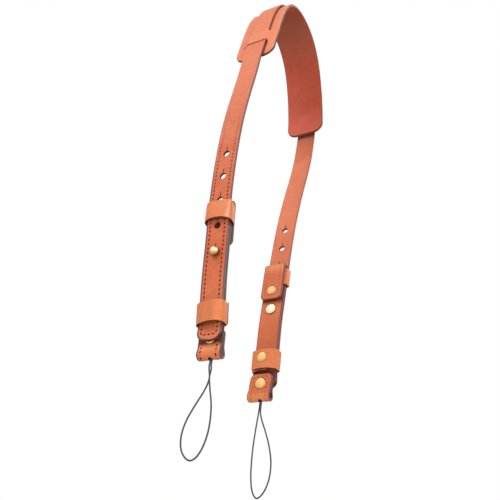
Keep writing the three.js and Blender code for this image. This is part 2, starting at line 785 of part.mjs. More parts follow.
function addPiece(name, geometry, material) {
  const mesh = new THREE.Mesh(geometry, material);
  mesh.name = name;
  model.add(mesh);
}

addPiece('shoulder_pad', shoulderPad(), FINISH.padLeather);
addPiece('main_strap', mainStrap(), FINISH.leather);
for (const [arm, side] of [
  ['left', 1],
  ['right', -1],
]) {
  addPiece(`${arm}_connector`, connector(side), FINISH.leather);
  addPiece(`${arm}_upper_keeper`, upperKeeper(side, arm), FINISH.keeperLeather);
  addPiece(`${arm}_lower_keeper`, lowerKeeper(side, arm), FINISH.keeperLeather);
  addPiece(`${arm}_stud`, stud(side), FINISH.brass);
  addPiece(`${arm}_tab_rivet`, tabRivet(side), FINISH.brass);
  addPiece(`${arm}_keeper_rivet`, keeperRivet(side, arm), FINISH.brass);
  addPiece(`${arm}_cord_rivet`, cordRivet(side), FINISH.brass);
  addPiece(`${arm}_cord_loop`, cordLoop(side, arm), FINISH.cord);
}

export default model;
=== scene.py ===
"""A leather neck strap for a camera, hanging over the middle of its shoulder pad.

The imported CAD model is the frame. Each leather piece is made again here as a flat pattern, with
rounded and painted edges, punched holes and stitches. The pattern is then hung along the same
line as the CAD piece. Lengths are in millimetres until a mesh is made, apart from the routes of
the two cords, which are in metres.

A place in a pattern is (run, across, lift): along the leather, across it and off its middle.
"""

from math import acos, asin, atan, atan2, copysign, cos, pi, radians, sin, sqrt
from types import SimpleNamespace as Sizes

import bmesh
import bpy
import numpy as np
from mathutils import Matrix, Vector


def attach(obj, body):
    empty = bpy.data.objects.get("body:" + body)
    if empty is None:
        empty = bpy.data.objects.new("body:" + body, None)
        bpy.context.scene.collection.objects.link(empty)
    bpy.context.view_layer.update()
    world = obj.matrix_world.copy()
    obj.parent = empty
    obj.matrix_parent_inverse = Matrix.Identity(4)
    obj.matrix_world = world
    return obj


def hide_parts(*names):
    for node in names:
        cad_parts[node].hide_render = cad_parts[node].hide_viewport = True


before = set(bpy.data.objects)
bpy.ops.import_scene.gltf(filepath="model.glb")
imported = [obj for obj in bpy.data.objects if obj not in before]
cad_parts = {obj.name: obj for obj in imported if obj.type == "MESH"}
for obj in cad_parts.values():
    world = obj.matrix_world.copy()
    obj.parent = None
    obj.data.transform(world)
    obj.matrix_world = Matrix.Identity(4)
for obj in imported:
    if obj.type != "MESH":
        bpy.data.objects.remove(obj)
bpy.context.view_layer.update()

MM = 0.001
ARMS = {"left": 1, "right": -1}

# ---- sizes of the pieces
#
# They are the CAD model's, apart from the strap's width and tips and what sits a little aside.

GAP = 0.3
STRAP = Sizes(
    width=17.6, thick=2, ride=0.5, to_tip=391.3, tip_depth=5.8, tip_corner=6.2, tip_lift=1.3,
    tip_lift_run=12, aside=0.6, aside_to=112, aside_run=26,
)
PAD = Sizes(width=36, lining=1.2, face=1.2, left_end=131, right_end=121.5, corner=9.5)
BRIDGE = Sizes(
    slot_from_end=18.4, slot_width=19.6, slot_left=8.3, length=13.8, foot_width=31, top_width=15,
    ramp=7, fade=2.6,
)
HOLES = Sizes(count=5, pitch=20, lowest=329.3, diameter=4.6, slit=3.7, slit_width=0.34)
CONNECTOR = Sizes(
    thick=2.1, top_fold=289.2, bottom_fold=402.2, upper_tab_tip=322.4, lower_tab_tip=381.9,
    tab_tip_depth=3.6, eye_radius=1.5, eye_run=4.8, cord_hole=3.4, aside_from=376, aside_to=396,
)
KEEPER = Sizes(
    thick=1.1, height=15, upper_top=291, lower_top=364.8, overlap_to=4, room=0.2,
    covered_run=9, covered_slip=1.5,
)
# the inside of each keeper at its two rims, as half width, front, shoulder, squareness,
# bulge of its back and radius of its back corners
KEEPER_RIMS = {
    ("left", "upper"): ((8.9, 3.5, 2.2, 2.7, 0, 0.6), (9.6, 5.4, 1.4, 2.1, 0, 1.0)),
    ("left", "lower"): ((8.9, 6.1, 1.9, 2.4, 0, 0.7), (8.9, 7.2, 1.7, 2.0, 0, 0.7)),
    ("right", "upper"): ((8.9, 3.9, 2.2, 3.4, 0, 0.6), (9.3, 5.7, 1.6, 2.4, 0, 1.0)),
    ("right", "lower"): ((9.1, 3.9, 2.2, 3.4, 2.4, 1.4), (8.9, 4.1, 2.2, 3.2, 2.4, 1.4)),
}
# how far each keeper has slipped down the arm, its slopes towards +X and outwards,
# how much shade is painted on its front, over its -X side and just right of its middle,
# and how strong the painted highlight on its bend at +X is
KEEPER_LEAN = {
    ("left", "upper"): (1.1, 0.04, -0.36, 0.02, 0.6),
    ("left", "lower"): (0.1, -0.09, 0.04, 0.12, 0),
    ("right", "upper"): (1.3, 0.1, -0.22, 0, 0.3),
    ("right", "lower"): (-1, -0.02, 0, 0, 0.3),
}
# how far the lower fold of each connector and the ball studs sit aside along X
FOLD_ASIDE = {"left": -0.9, "right": -1.2}
STUD_ASIDE = {"left": 1.0, "right": 0}
STUD = Sizes(ball=6, neck=3.2, post=3, base=8, base_thick=0.9, stand=-0.2)
TAB_RIVET = Sizes(along=315, cap=8, height=0.8, front=-0.6, front_cap=8, front_height=0.55)
KEEPER_RIVET = Sizes(across=0.4, below=6.6, cap=7.6, height=0.8, front=0.9, front_cap=5, front_height=0.4)
CORD_RIVETS = {
    "left": Sizes(along=388.5, cap=8.2, height=0.9, front=0.1, front_cap=7.2, front_height=0.7),
    "right": Sizes(along=389.4, cap=8.2, height=0.9, front=0.1, front_cap=7.6, front_height=0.7),
}
RIVET_SHANK = 2.6
CAP_GAP = 0.05
CORD_DIAMETER = 1.1

# slope of the hang line below level, in degrees, at distances from the top of the arch
HANG = {
    "from": (0, 25, 50, 75, 105, 140, 180, 230, 290, 350, 430),
    "left": (0, 35.9, 65.6, 79.3, 83, 85.4, 83.4, 89.3, 98, 100, 91.6),
    "right": (0, 35, 61.6, 72.8, 82.6, 93, 101.7, 99, 93.7, 87.8, 89.7),
}
# how far the middle of each arm drifts along X
DRIFT = {
    "from": (0, 60, 130, 240, 310, 350, 430),
    "left": (0.1, 1.4, 1.1, 0.2, -0.8, -1.7, 0.5),
    "right": (0.1, -0.3, 0.4, -0.4, 0, -1, -1.2),
}
# routes of the cord loops in metres: across the strap, below the lower fold, front to back
CORD_ROUTES = {
    "left": (
        (-0.0006, -0.0022, 0), (-0.0006, 0.003, -0.0001), (-0.0001, 0.006, -0.0006),
        (0.0008, 0.0095, -0.0006), (0.0018, 0.0145, -0.0007), (0.0032, 0.0205, -0.0005),
        (0.0052, 0.029, 0), (0.0063, 0.038, 0), (0.0062, 0.046, 0),
        (0.0049, 0.0528, 0), (0.0028, 0.058, 0), (0, 0.0614, 0),
        (-0.003, 0.0624, 0), (-0.0064, 0.0608, 0), (-0.0098, 0.0568, 0),
        (-0.0116, 0.0514, 0), (-0.0118, 0.0452, 0), (-0.0103, 0.0384, 0),
        (-0.0069, 0.0303, 0.0003), (-0.0017, 0.02, 0.0006), (0.0001, 0.0145, 0.0007),
        (0.0005, 0.0095, 0.0006), (0.0007, 0.006, 0.0006), (0.0006, 0.003, 0.0001),
        (0.0006, -0.0022, 0),
    ),
    "right": (
        (-0.0006, -0.0022, 0), (-0.0006, 0.003, 0), (-0.00065, 0.0075, 0),
        (-0.0013, 0.018, 0), (-0.0018, 0.0305, 0), (-0.0016, 0.0422, 0),
        (-0.0007, 0.0524, 0), (0.001, 0.06, 0), (0.0032, 0.0641, 0),
        (0.0054, 0.0655, 0), (0.008, 0.064, 0), (0.0109, 0.0596, 0),
        (0.0128, 0.0528, 0), (0.0129, 0.0432, 0), (0.0104, 0.0325, 0),
        (0.0062, 0.0216, 0), (0.0023, 0.013, 0), (0.0007, 0.0075, 0),
        (0.0006, 0.003, 0), (0.0006, -0.0022, 0),
    ),
}

# ---- finish sizes

STITCH = Sizes(
    pitch=3.2, length=2.3, radius=0.26, inset=3.1, tip_inset=3.8, tab_inset=2.4, turn=1.8,
    past_fold=14, before_eye=20,
)
PAINT_WRAP = 0.75  # how far the edge paint comes onto a strap's face
LEFT_EDGE_BAND = 0.75  # how much further the dark edge colour comes onto the left arm's faces at -X
PLY_LINE = 0.16  # half height of the line between the layers on a painted edge
NO_PLY = 3.0  # the layer of leather that shows no such line
NO_STITCH = 9  # how far off the stitches a face is that has none
# nearer the pad, where more light falls, the stitches' painted shade fades out and their threads are
# painted paler
STITCH_FADE = (165, 315)  # from the top of the arch, where the stitches come to show
LOW_DOWN = 400  # past that fade, for leather without it
# where in that fade a connector's upper tab, its lower part on each arm and its threads are
SEWN_AT = {"tab": 232, "left": LOW_DOWN, "right": 246, "thread": 240}

# ---- camera

CAMERA_PLACE = (0.2102, -0.3485, -0.5402)
CAMERA_TURN = radians(31.96)
CAMERA_RISE = radians(-33.96)
CAMERA_ROLL = radians(8.46)
CAMERA_LENS = 46.9


def in_scene(name, data):
    """A new object in the scene that holds the data."""
    made = bpy.data.objects.new(name, data)
    bpy.context.scene.collection.objects.link(made)
    return made


def make_camera():
    """The camera at the photograph's viewing angle, below the strap and looking up."""
    data = bpy.data.cameras.new("camera")
    data.sensor_width = 36
    data.lens = CAMERA_LENS
    data.clip_start = 0.01
    data.clip_end = 50
    camera = in_scene("camera", data)
    flat = cos(CAMERA_RISE)
    back = Vector((sin(CAMERA_TURN) * flat, -cos(CAMERA_TURN) * flat, sin(CAMERA_RISE)))
    level = Vector((cos(CAMERA_TURN), sin(CAMERA_TURN), 0))
    above = back.cross(level)
    right = cos(CAMERA_ROLL) * level + sin(CAMERA_ROLL) * above
    up = back.cross(right)
    turn = Matrix((right, up, back)).transposed().to_4x4()
    camera.matrix_world = Matrix.Translation(CAMERA_PLACE) @ turn
    bpy.context.scene.camera = camera


make_camera()

# ---- the hang line


def rise(value, low, high):
    """A smooth rise from 0, at low and below it, to 1, at high and above it."""
    t = np.clip((np.asarray(value, float) - low) / (high - low), 0, 1)
    return t * t * (3 - 2 * t)


def fall(value, low, high):
    """A smooth fall from 1, at low and below it, to 0, at high and above it."""
    return 1 - rise(value, low, high)


def curve(t, start, end, start_turn, end_turn):
    """A smooth curve's value at a share t of its way, from its values and slopes at both ends."""
    value = start * (1 + 2 * t) * (1 - t) ** 2 + end * (3 - 2 * t) * t**2
    return value + start_turn * t * (1 - t) ** 2 - end_turn * (1 - t) * t**2


def from_table(table, arm, distance, level=False):
    """An arm's value at a distance, on a curve through the table's rows, level at each if asked."""
    starts, values = (np.array(table[row], float) for row in ("from", arm))
    rises = np.diff(values) / np.diff(starts) * (not level)
    turns = np.concatenate([rises[:1], (rises[1:] + rises[:-1]) / 2, rises[-1:]])
    i = np.clip(np.searchsorted(starts, distance, side="right") - 1, 0, len(rises) - 1)
    run = starts[i + 1] - starts[i]
    return curve((distance - starts[i]) / run, values[i], values[i + 1], turns[i] * run, turns[i + 1] * run)


def hang_line(arm):
    """Reach and height of one arm's line at each millimetre down from the top of the arch."""
    slopes = np.radians(from_table(HANG, arm, np.arange(HANG["from"][-1]) + 0.5))
    reach = np.concatenate([[0], np.cumsum(np.cos(slopes))])
    height = PAD.lining + PAD.face - np.concatenate([[0], np.cumsum(np.sin(slopes))])
    return np.stack([reach, height], 1)


LINES = {arm: hang_line(arm) for arm in ARMS}


def lengths_along(path):
    """The distance along a path from its start to each of its points."""
    steps = np.linalg.norm(np.diff(path, axis=0), axis=1)
    return np.concatenate([[0], np.cumsum(steps)])


def sampled(path, lengths, runs):
    """Each coordinate of a path at the runs, where its points lie at the lengths."""
    return np.stack([np.interp(runs, lengths, part) for part in np.transpose(path)])


def place_at(along, out, across):
    """Places by their distance along the hang line, positive down the left arm, and off it."""
    along, out, across = np.broadcast_arrays(np.atleast_1d(along), out, across)
    placed = np.empty((along.size, 3))
    for arm, mine in (("left", along >= 0), ("right", along < 0)):
        distance = np.abs(along[mine])
        slope = np.radians(from_table(HANG, arm, distance))
        reach, height = sampled(LINES[arm], np.arange(len(LINES[arm])), distance)
        placed[mine, 0] = across[mine] + from_table(DRIFT, arm, distance, level=True)
        placed[mine, 1] = -ARMS[arm] * (reach + np.sin(slope) * out[mine])
        placed[mine, 2] = height + np.cos(slope) * out[mine]
    return placed


def ribbon(measure, along, out, aside=0.0, sign=1):
    """How a flat pattern hangs: its run follows the middle line given by along, out and aside."""
    ways = np.stack([np.gradient(along, measure), np.gradient(out, measure)])
    line = np.stack([along, out, np.broadcast_to(aside, measure.shape), *(ways / np.hypot(*ways))], 1)

    def hang(pattern):
        run, across, lift = pattern.T
        mid_along, mid_out, mid_aside, way_along, way_out = sampled(line, measure, run)
        lifted = sign * lift / np.hypot(way_along, way_out)
        return place_at(mid_along - way_out * lifted, mid_out + way_along * lifted, across + mid_aside)

    return hang


# ---- making meshes


def rgb(red, green, blue):
    """A colour from its usual 0 to 255 values."""
    values = np.array([red, green, blue]) / 255
    linear = np.where(values <= 0.04045, values / 12.92, ((values + 0.055) / 1.055) ** 2.4)
    return (*linear.tolist(), 1.0)


def tube_faces(count, size, base=0, capped=True):
    """The faces of a tube whose points are `count` rings of `size`, from the point numbered base."""
    last = base + (count - 1) * size
    faces = [list(range(base, base + size))[::-1], list(range(last, last + size))] if capped else []
    for low in range(base, last, size):
        for j in range(size):
            k = (j + 1) % size
            faces.append([low + j, low + k, low + size + k, low + size + j])
    return faces


def merged(points, faces, reach=1e-3):
    """The mesh with points that coincide joined, and without faces that this closes up."""
    cells = np.round(points / reach).astype(np.int64)
    _, first, same = np.unique(cells, axis=0, return_index=True, return_inverse=True)
    kept = []
    for ring in same.ravel()[faces].tolist():
        ring = [v for j, v in enumerate(ring) if v != ring[j - 1]]
        if len(set(ring)) > 2 and len(set(ring)) == len(ring):
            kept.append(ring)
    return points[first], kept


def outward_mesh(name, points, faces, materials):
    """A mesh with its face normals outwards."""
    mesh = bpy.data.meshes.new(name)
    mesh.from_pydata(np.asarray(points).tolist(), [], faces)
    for material in materials:
        mesh.materials.append(material)
    shell = bmesh.new()
    shell.from_mesh(mesh)
    bmesh.ops.recalc_face_normals(shell, faces=shell.faces)
    shell.to_mesh(mesh)
    shell.free()
    return mesh


def make_piece(name, points, faces, materials, slot="", node="", slots=None, sharp=38, **attributes):
    """A smooth piece whose creases of more than `sharp` degrees stay sharp, on the one body.

    It stands for the CAD node, if there is one. An attribute has a value for each point, or one.
    """
    mesh = outward_mesh(name, np.asarray(points) * MM, faces, materials)
    if slots:
        mesh.polygons.foreach_set("material_index", slots)
    for label, values in attributes.items():
        layer = mesh.attributes.new(label, "FLOAT", "POINT")
        values = np.broadcast_to(values, len(points)).astype(np.float32)
        layer.data.foreach_set("value", values)
    mesh.shade_smooth()
    mesh.set_sharp_from_angle(angle=radians(sharp))
    piece = in_scene(name, mesh)
    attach(piece, "root")
    if node:
        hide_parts(node)
    return piece


def cut(points, faces, cutters):
    """A flat pattern less the cutters, as points, faces and slots. Cut faces have slot 1."""
    labels = [bpy.data.materials.new(label) for label in ("kept", "cut")]
    holders = []
    for slot, shape in enumerate(((points, faces), joined(cutters))):
        mesh = outward_mesh("flat", *shape, labels)
        mesh.polygons.foreach_set("material_index", [slot] * len(mesh.polygons))
        holders.append(in_scene("flat", mesh))
    modifier = holders[0].modifiers.new("cut", "BOOLEAN")
    modifier.operation = "DIFFERENCE"
    modifier.solver = "EXACT"
    modifier.object = holders[1]
    made = holders[0].evaluated_get(bpy.context.evaluated_depsgraph_get()).to_mesh()
    new_points = np.array([v.co[:] for v in made.vertices])
    new_faces = [list(f.vertices) for f in made.polygons]
    slots = [f.material_index for f in made.polygons]
    for mesh in [holder.data for holder in holders]:
        bpy.data.meshes.remove(mesh)
    for label in labels:
        bpy.data.materials.remove(label)
    return new_points, new_faces, slots


def joined(shapes):
    """Several (points, faces) as one."""
    points, faces = [], []
    for shape_points, shape_faces in shapes:
        base = len(points)
        points.extend(np.asarray(shape_points, float).tolist())
        faces.extend([[v + base for v in face] for face in shape_faces])
    return points, faces


def prism(rings):
    """A closed solid through rings of points, flat at both ends."""
    return [p for ring in rings for p in ring], tube_faces(len(rings), len(rings[0]))


def arc(along, out, radius, first, last, count):
    """Points round a part of a circle, as (along, out)."""
    angles = np.linspace(first, last, count)
    return [(along + radius * cos(a), out + radius * sin(a)) for a in angles]


# ---- flat patterns


def rounded_wall(thick, radius, inner, ply=0.0, columns=()):
    """Half of a strap's section, from its bottom face round its edge to its top, as (inset, lift)."""
    half = thick / 2
    top = [(0.0, ply * 1.6), (0.0, (half - radius) * 0.55)] if ply else [(0.0, 0.0)]
    top += arc(radius, half - radius, radius, pi, pi / 2, 6)
    insets = sorted({radius + 0.25, *columns, inner})
    top += [(inset, half) for inset in insets if radius < inset <= inner]
    bottom = [(inset, -lift) for inset, lift in top[::-1]]
    return bottom + [(ply * 0.9, 0.0)] + top if ply else bottom[:-1] + top


def flat_strap(ends, half, corner, depth, wall, inner, runs):
    """A flat strap closed all round. Its ends are rounded by `corner` across and `depth` along.

    `wall` is its section to a depth of `corner` in from the outline, `inner` has the columns
    further in, from the middle outwards, and `runs` has the straight rows.
    """
    inset, lift = np.array(wall).T
    inner = np.array(inner, float)
    lift = np.pad(lift, len(inner), mode="edge")
    centres = {-1: ends[0] + depth, 1: ends[1] - depth}

    def ring(run, across_wall, bow=0, across_inner=inner):
        wall_run = run + bow * depth * (1 - inset / corner)
        across = np.concatenate([across_inner, across_wall, across_inner[::-1]])
        right = np.stack([np.pad(wall_run, len(inner), constant_values=run), across, lift], 1)
        return np.concatenate([right, right[1:-1][::-1] * (1, -1, 1)])

    def rounded_end(way):
        for angle in np.linspace(0, pi / 2, 15)[1:]:
            across_wall = half - corner + (corner - inset) * cos(angle)
            yield ring(centres[way], across_wall, way * sin(angle))
        for column in inner[inner < half - corner - 1e-6][::-1]:
            yield ring(centres[way], np.full(len(inset), column), way, np.minimum(inner, column))

    rings = [*rounded_end(-1)][::-1]
    rings += [ring(run, half - inset) for run in (centres[-1], *runs, centres[1])]
    rings += rounded_end(1)
    return merged(np.concatenate(rings), tube_faces(len(rings), len(rings[0]), capped=False))


def rows_between(start, end, step):
    """Straight rows between two ends, without the ends."""
    return np.linspace(start, end, max(round((end - start) / step), 2) + 1)[1:-1]


def inset_in(pattern, ends, half, corner, depth):
    """How far each place of a flat strap lies in from its outline."""
    run, across = pattern[:, 0], np.abs(pattern[:, 1])
    past = np.maximum(run - (ends[1] - depth), (ends[0] + depth) - run)
    side = across - (half - corner)
    in_corner = (past > 0) & (side > 0)
    corner_inset = corner * (1 - np.hypot(side / corner, past / depth))
    end_inset = (depth - past) * corner / depth
    return np.where(in_corner, corner_inset, np.where(past > 0, end_inset, half - across))


def nearest_on_path(places, path):
    """For each place, the distance along a path to its nearest point, and the distance from it."""
    best = np.full(len(places), 1e9)
    run = np.zeros(len(places))
    for start, way, base in zip(path, np.diff(path, axis=0), lengths_along(path)):
        size = np.hypot(*way)
        if size > 0:
            t = np.clip(((places - start) @ way) / size**2, 0, 1)
            off = np.hypot(*(places - start - t[:, None] * way).T)
            closer = off < best
            best[closer] = off[closer]
            run[closer] = base + t[closer] * size
    return run, best


def nearest_of(pattern, paths, thick):
    """The run and the distance of the nearest stitch line, for places on a strap's outer face."""
    found = [nearest_on_path(pattern[:, :2], path) for path in paths]
    offs = np.array([off for _, off in found])
    nearest = offs.argmin(axis=0)
    run = np.array([run for run, _ in found])[nearest, np.arange(len(pattern))]
    on_face = pattern[:, 2] > thick / 2 - 0.2
    return run, np.where(on_face, offs.min(axis=0), NO_STITCH)


def stitch_rows(ends, half, tip_inset=None):
    """The stitches near a strap's outline: two rows, or one row that turns round its second end."""
    side, turn = half - STITCH.inset, STITCH.turn
    start, end = ends[0], ends[1] - (tip_inset or 0)
    runs = np.linspace(start + turn, end - turn, max(round((end - start) / 4), 2))
    left = [(run, -side) for run in runs]
    right = [(run, side) for run in runs]
    if tip_inset is None:
        return [np.array(left), np.array(right)]
    left += arc(end - turn, turn - side, turn, -pi / 2, 0, 7)
    left += arc(end - turn, side - turn, turn, 0, pi / 2, 7)
    return [np.array(left + right[::-1])]


def stitches(paths, surface, hang, name, seed, from_top=None):
    """Sewn threads along the paths, each one rising from a hole and going down into the next.

    `from_top` is how far they are from the top of the arch, or none for threads that run down it.
    """
    proud, dip, slant, spread = 0.12, 0.55, 7, 2.5
    random = np.random.default_rng(seed)
    reach, angle = np.meshgrid(np.linspace(-1, 1, 7), np.arange(8) * pi / 4, indexing="ij")
    thick = STITCH.radius * (1 - 0.3 * reach**2)
    beside = thick * np.cos(angle)
    lift = surface + proud - dip * np.abs(reach) ** 3.2 + 0.8 * thick * np.sin(angle)
    threads, faces = [], []
    for path in paths:
        lengths = lengths_along(path)
        for k in range(int(lengths[-1] / STITCH.pitch)):
            run = (k + 0.5) * STITCH.pitch
            x, y = sampled(path, lengths, (run, run + 0.4))
            turned = radians(slant + random.normal(0, spread))
            heading = atan2(y[1] - y[0], x[1] - x[0]) + turned
            ahead = reach * STITCH.length / 2 * random.uniform(0.95, 1.04)
            flat_x = x[0] + ahead * cos(heading) - beside * sin(heading)
            flat_y = y[0] + ahead * sin(heading) + beside * cos(heading)
            faces += tube_faces(*reach.shape, base=len(threads) * reach.size)
            threads.append(np.stack([flat_x, flat_y, lift], -1).reshape(-1, 3))
    points = np.concatenate(threads)
    depth = np.abs(points[:, 0]) if from_top is None else from_top
    make_piece(name, hang(points), faces, [THREAD], sharp=60, from_top=depth)


# ---- materials


def feed(tree, socket, value):
    """Gives a socket a value, another node's output, or the mesh attribute of a name."""
    if isinstance(value, str):
        value = add_node(tree, "Attribute", "Fac", attribute_name=value)
    if hasattr(value, "is_linked"):
        tree.links.new(value, socket)
    else:
        socket.default_value = value


def add_node(tree, kind, output, inputs=(), **settings):
    """One output of a new node with its settings and inputs."""
    node = tree.nodes.new("ShaderNode" + kind)
    for name, value in settings.items():
        setattr(node, name, value)
    for socket, value in dict(inputs).items():
        feed(tree, node.inputs[socket], value)
    return node.outputs[output]


class Recipe:
    """A material's nodes, with a short call for each kind that is used here."""

    def __init__(self, name, **settings):
        self.material = bpy.data.materials.new(name)
        self.material.use_nodes = True
        self.tree = self.material.node_tree
        self.place = self.node("TexCoord", "Object")
        self.shade(**settings)

    def shade(self, **inputs):
        """Feeds the shader's inputs, whose names have _ here for each space."""
        for socket, value in inputs.items():
            feed(self.tree, self.tree.nodes["Principled BSDF"].inputs[socket.replace("_", " ")], value)

    def node(self, kind, output, inputs=(), **settings):
        return add_node(self.tree, kind, output, inputs, **settings)

    def math(self, kind, first, second=0.0):
        """An operation on one or two values."""
        return self.node("Math", 0, {0: first, 1: second}, operation=kind)

    def product(self, first, second):
        return self.math("MULTIPLY", first, second)

    def noise(self, scale, detail=3.0, rough=0.55, warp=0.0, stretch=None):
        """Soft patches, the finer the larger the scale is."""
        place = self.place
        if stretch:
            place = self.node("Mapping", "Vector", {"Vector": place, "Scale": stretch})
        inputs = {"Vector": place, "Scale": scale, "Detail": detail, "Roughness": rough, "Distortion": warp}
        return self.node("TexNoise", "Fac", inputs)

    def cells(self, scale):
        """The distance to the middle of the nearest of many cells."""
        return self.node("TexVoronoi", "Distance", {"Vector": self.place, "Scale": scale})

    def between(self, value, low, high, first=0.0, last=1.0):
        """The value's smooth way from one number to another."""
        inputs = {"Value": value, "From Min": low, "From Max": high, "To Min": first, "To Max": last}
        return self.node("MapRange", "Result", inputs, interpolation_type="SMOOTHSTEP")

    def blend(self, factor, first, second, kind="MIX"):
        """The first colour with as much of the second as the factor says."""
        inputs = {"Factor": factor, "A": first, "B": second}
        return self.node("Mix", "Result", inputs, data_type="RGBA", blend_type=kind)

    def tint(self, where, share, colour, dark):
        """The colour with a share of a darker one multiplied into it where the value says."""
        return self.blend(self.product(where, share), colour, dark, "MULTIPLY")

    def bump(self, height, depth, below=None):
        """Relief `depth` millimetres deep, on top of another one."""
        inputs = {"Height": height, "Distance": depth * MM, "Strength": 1.0}
        if below:
            inputs["Normal"] = below
        return self.node("Bump", "Normal", inputs)

    def finish(self, colour, rough, **inputs):
        """The material with its colour and roughness, and any other inputs of its shader."""
        self.shade(Base_Color=colour, Roughness=rough, **inputs)
        return self.material


EDGE_TONE = rgb(118, 88, 84)
PLY_TONE = rgb(160, 82, 62)
BARE_EDGE = rgb(176, 98, 74)
# a dark tone for painted shade, and pale tones for painted light on the leather and on the connectors'
# folds
PAINTED_SHADE_TONE = rgb(86, 36, 24)
PAINTED_LIGHT_TONE = rgb(228, 134, 98)
FOLD_LIGHT_TONE = rgb(242, 162, 110)


def leather(
    name, light, dark, wrap=PAINT_WRAP, sewn=0, near_pad=False, pores=1.0, rough=0.5,
    edge_tone=EDGE_TONE, edge_shade_ends=None, painted_light_tone=PAINTED_LIGHT_TONE, painted_shade_tone=PAINTED_SHADE_TONE,
):
    """Smooth vegetable-tanned leather with fine pores, paint on its cut edges, and painted light and shade.
    """
    recipe = Recipe(name, Specular_IOR_Level=0.16)
    clouds = recipe.between(recipe.noise(38, 4, 0.6, 0.4), 0.3, 0.7)
    colour = recipe.blend(clouds, light, dark)
    freckles = recipe.between(recipe.noise(420, 3, 0.6), 0.35, 0.75)
    colour = recipe.tint(freckles, 0.16, colour, dark)
    pits = recipe.between(recipe.cells(1500), 0.0, 0.28, 1.0, 0.0)
    coarse = recipe.between(recipe.noise(240, 2, 0.5), 0.42, 0.62)
    pits = recipe.product(pits, coarse)
    colour = recipe.tint(pits, 0.2 * pores, colour, dark)
    # painted shade on the edges: further down the arms the edge tone goes darker
    if edge_shade_ends:
        ends = recipe.between("from_top", 96, 116)
        edge_tone = recipe.blend(ends, edge_tone, edge_shade_ends)
    # painted light: the colour goes towards a paler tone where the mesh says more light falls
    colour = recipe.blend("pale", colour, painted_light_tone)
    if near_pad:
        edge_tone = recipe.blend("bare", edge_tone, BARE_EDGE)
    grain = recipe.math("ADD", recipe.noise(2600, 3, 0.65), recipe.product(pits, -0.8))
    normal = recipe.bump(grain, 0.035)
    if near_pad:
        creases = recipe.between(recipe.noise(9, 2, 0.5, 0.6, (4, 0.6, 22)), 0.62, 0.74)
        near = recipe.between("from_top", 150, 210, 1.0, 0.0)
        creases = recipe.product(creases, near)
        normal = recipe.bump(recipe.product(creases, -1.0), 0.15, normal)
        # the creases are darkened a little too: painted shade in them
        colour = recipe.tint(creases, 0.1, colour, dark)
    roughness = recipe.between(recipe.noise(160, 3, 0.6), 0.3, 0.7, rough - 0.07, rough + 0.08)
    if sewn:
        colour, normal = sewn_line(recipe, colour, normal, sewn)
    waver = recipe.product(recipe.noise(330, 2, 0.5), 0.24)
    inset = recipe.math("ADD", "inset", waver)
    paint = recipe.between(inset, wrap, wrap + 0.25, 1.0, 0.0)
    flat = recipe.math("ABSOLUTE", "layer")
    ply = recipe.between(flat, PLY_LINE * 0.6, PLY_LINE * 1.5, 0.8, 0.0)
    worn = recipe.between(recipe.noise(300, 3, 0.6), 0.5, 0.75, 0.0, 0.3)
    edge = recipe.blend(recipe.math("MAXIMUM", ply, worn), edge_tone, PLY_TONE)
    colour = recipe.blend(paint, colour, edge)
    # painted shade: the colour goes towards a dark tone where the mesh says little light comes
    colour = recipe.blend("shaded", colour, painted_shade_tone)
    roughness = recipe.blend(paint, roughness, (0.36, 0.36, 0.36, 1))
    return recipe.finish(colour, roughness, Normal=normal)


def sewn_line(recipe, colour, normal, strength):
    """The pressed line of the stitches and the needle holes between them, both with painted shade."""
    away = recipe.math("PINGPONG", "stitch_run", STITCH.pitch / 2)
    squares = [recipe.math("POWER", value, 2.0) for value in (away, "stitch_off")]
    distance = recipe.math("SQRT", recipe.math("ADD", *squares))
    # painted shade in each needle hole and along the groove, fading out near the pad, where more light
    # falls
    depth = recipe.between("from_top", *STITCH_FADE, 0.0, strength)
    hole = recipe.product(recipe.between(distance, 0.45, 0.88, 1.0, 0.0), depth)
    groove = recipe.product(recipe.between("stitch_off", 0.2, 0.95, 1.0, 0.0), depth)
    colour = recipe.blend(recipe.product(groove, 0.2), colour, rgb(186, 84, 50))
    colour = recipe.blend(hole, colour, rgb(96, 31, 16))
    dip = recipe.math("ADD", recipe.product(groove, 0.3), hole)
    normal = recipe.bump(recipe.product(dip, -1.0), 0.16, normal)
    recipe.shade(Specular_IOR_Level=recipe.between(hole, 0.1, 0.6, 0.16, 0.0))
    return colour, normal


def cut_leather(name, dark, light):
    """The raw wall inside a punched hole or a slot."""
    recipe = Recipe(name, Specular_IOR_Level=0.2)
    fibres = recipe.noise(900, 4, 0.7)
    colour = recipe.blend(fibres, dark, light)
    rough = recipe.between(fibres, 0.2, 0.8, 0.75, 0.95)
    return recipe.finish(colour, rough, Normal=recipe.bump(fibres, 0.1))


def thread():
    """Waxed thread with its twist, a little darker than the leather, and painted light near the pad."""
    recipe = Recipe("thread", Specular_IOR_Level=0.12)
    twist = recipe.noise(1900, 2, 0.5)
    colour = recipe.blend(recipe.between(twist, 0.35, 0.7), rgb(206, 104, 66), rgb(182, 84, 50))
    deep = recipe.between("from_top", *STITCH_FADE)
    colour = recipe.blend(deep, rgb(222, 126, 88), colour)
    rough = recipe.between(twist, 0.3, 0.7, 0.45, 0.65)
    return recipe.finish(colour, rough, Normal=recipe.bump(twist, 0.08))


def brass(name, light, dark, smooth=0.44):
    """Brass with faint rub marks."""
    recipe = Recipe(name, Metallic=1.0)
    marks = recipe.noise(700, 4, 0.7, 0.3)
    tarnish = recipe.between(recipe.noise(120, 3, 0.6), 0.35, 0.7)
    colour = recipe.blend(tarnish, light, dark)
    rough = recipe.between(marks, 0.3, 0.75, smooth, smooth + 0.12)
    return recipe.finish(colour, rough, Normal=recipe.bump(marks, 0.01))


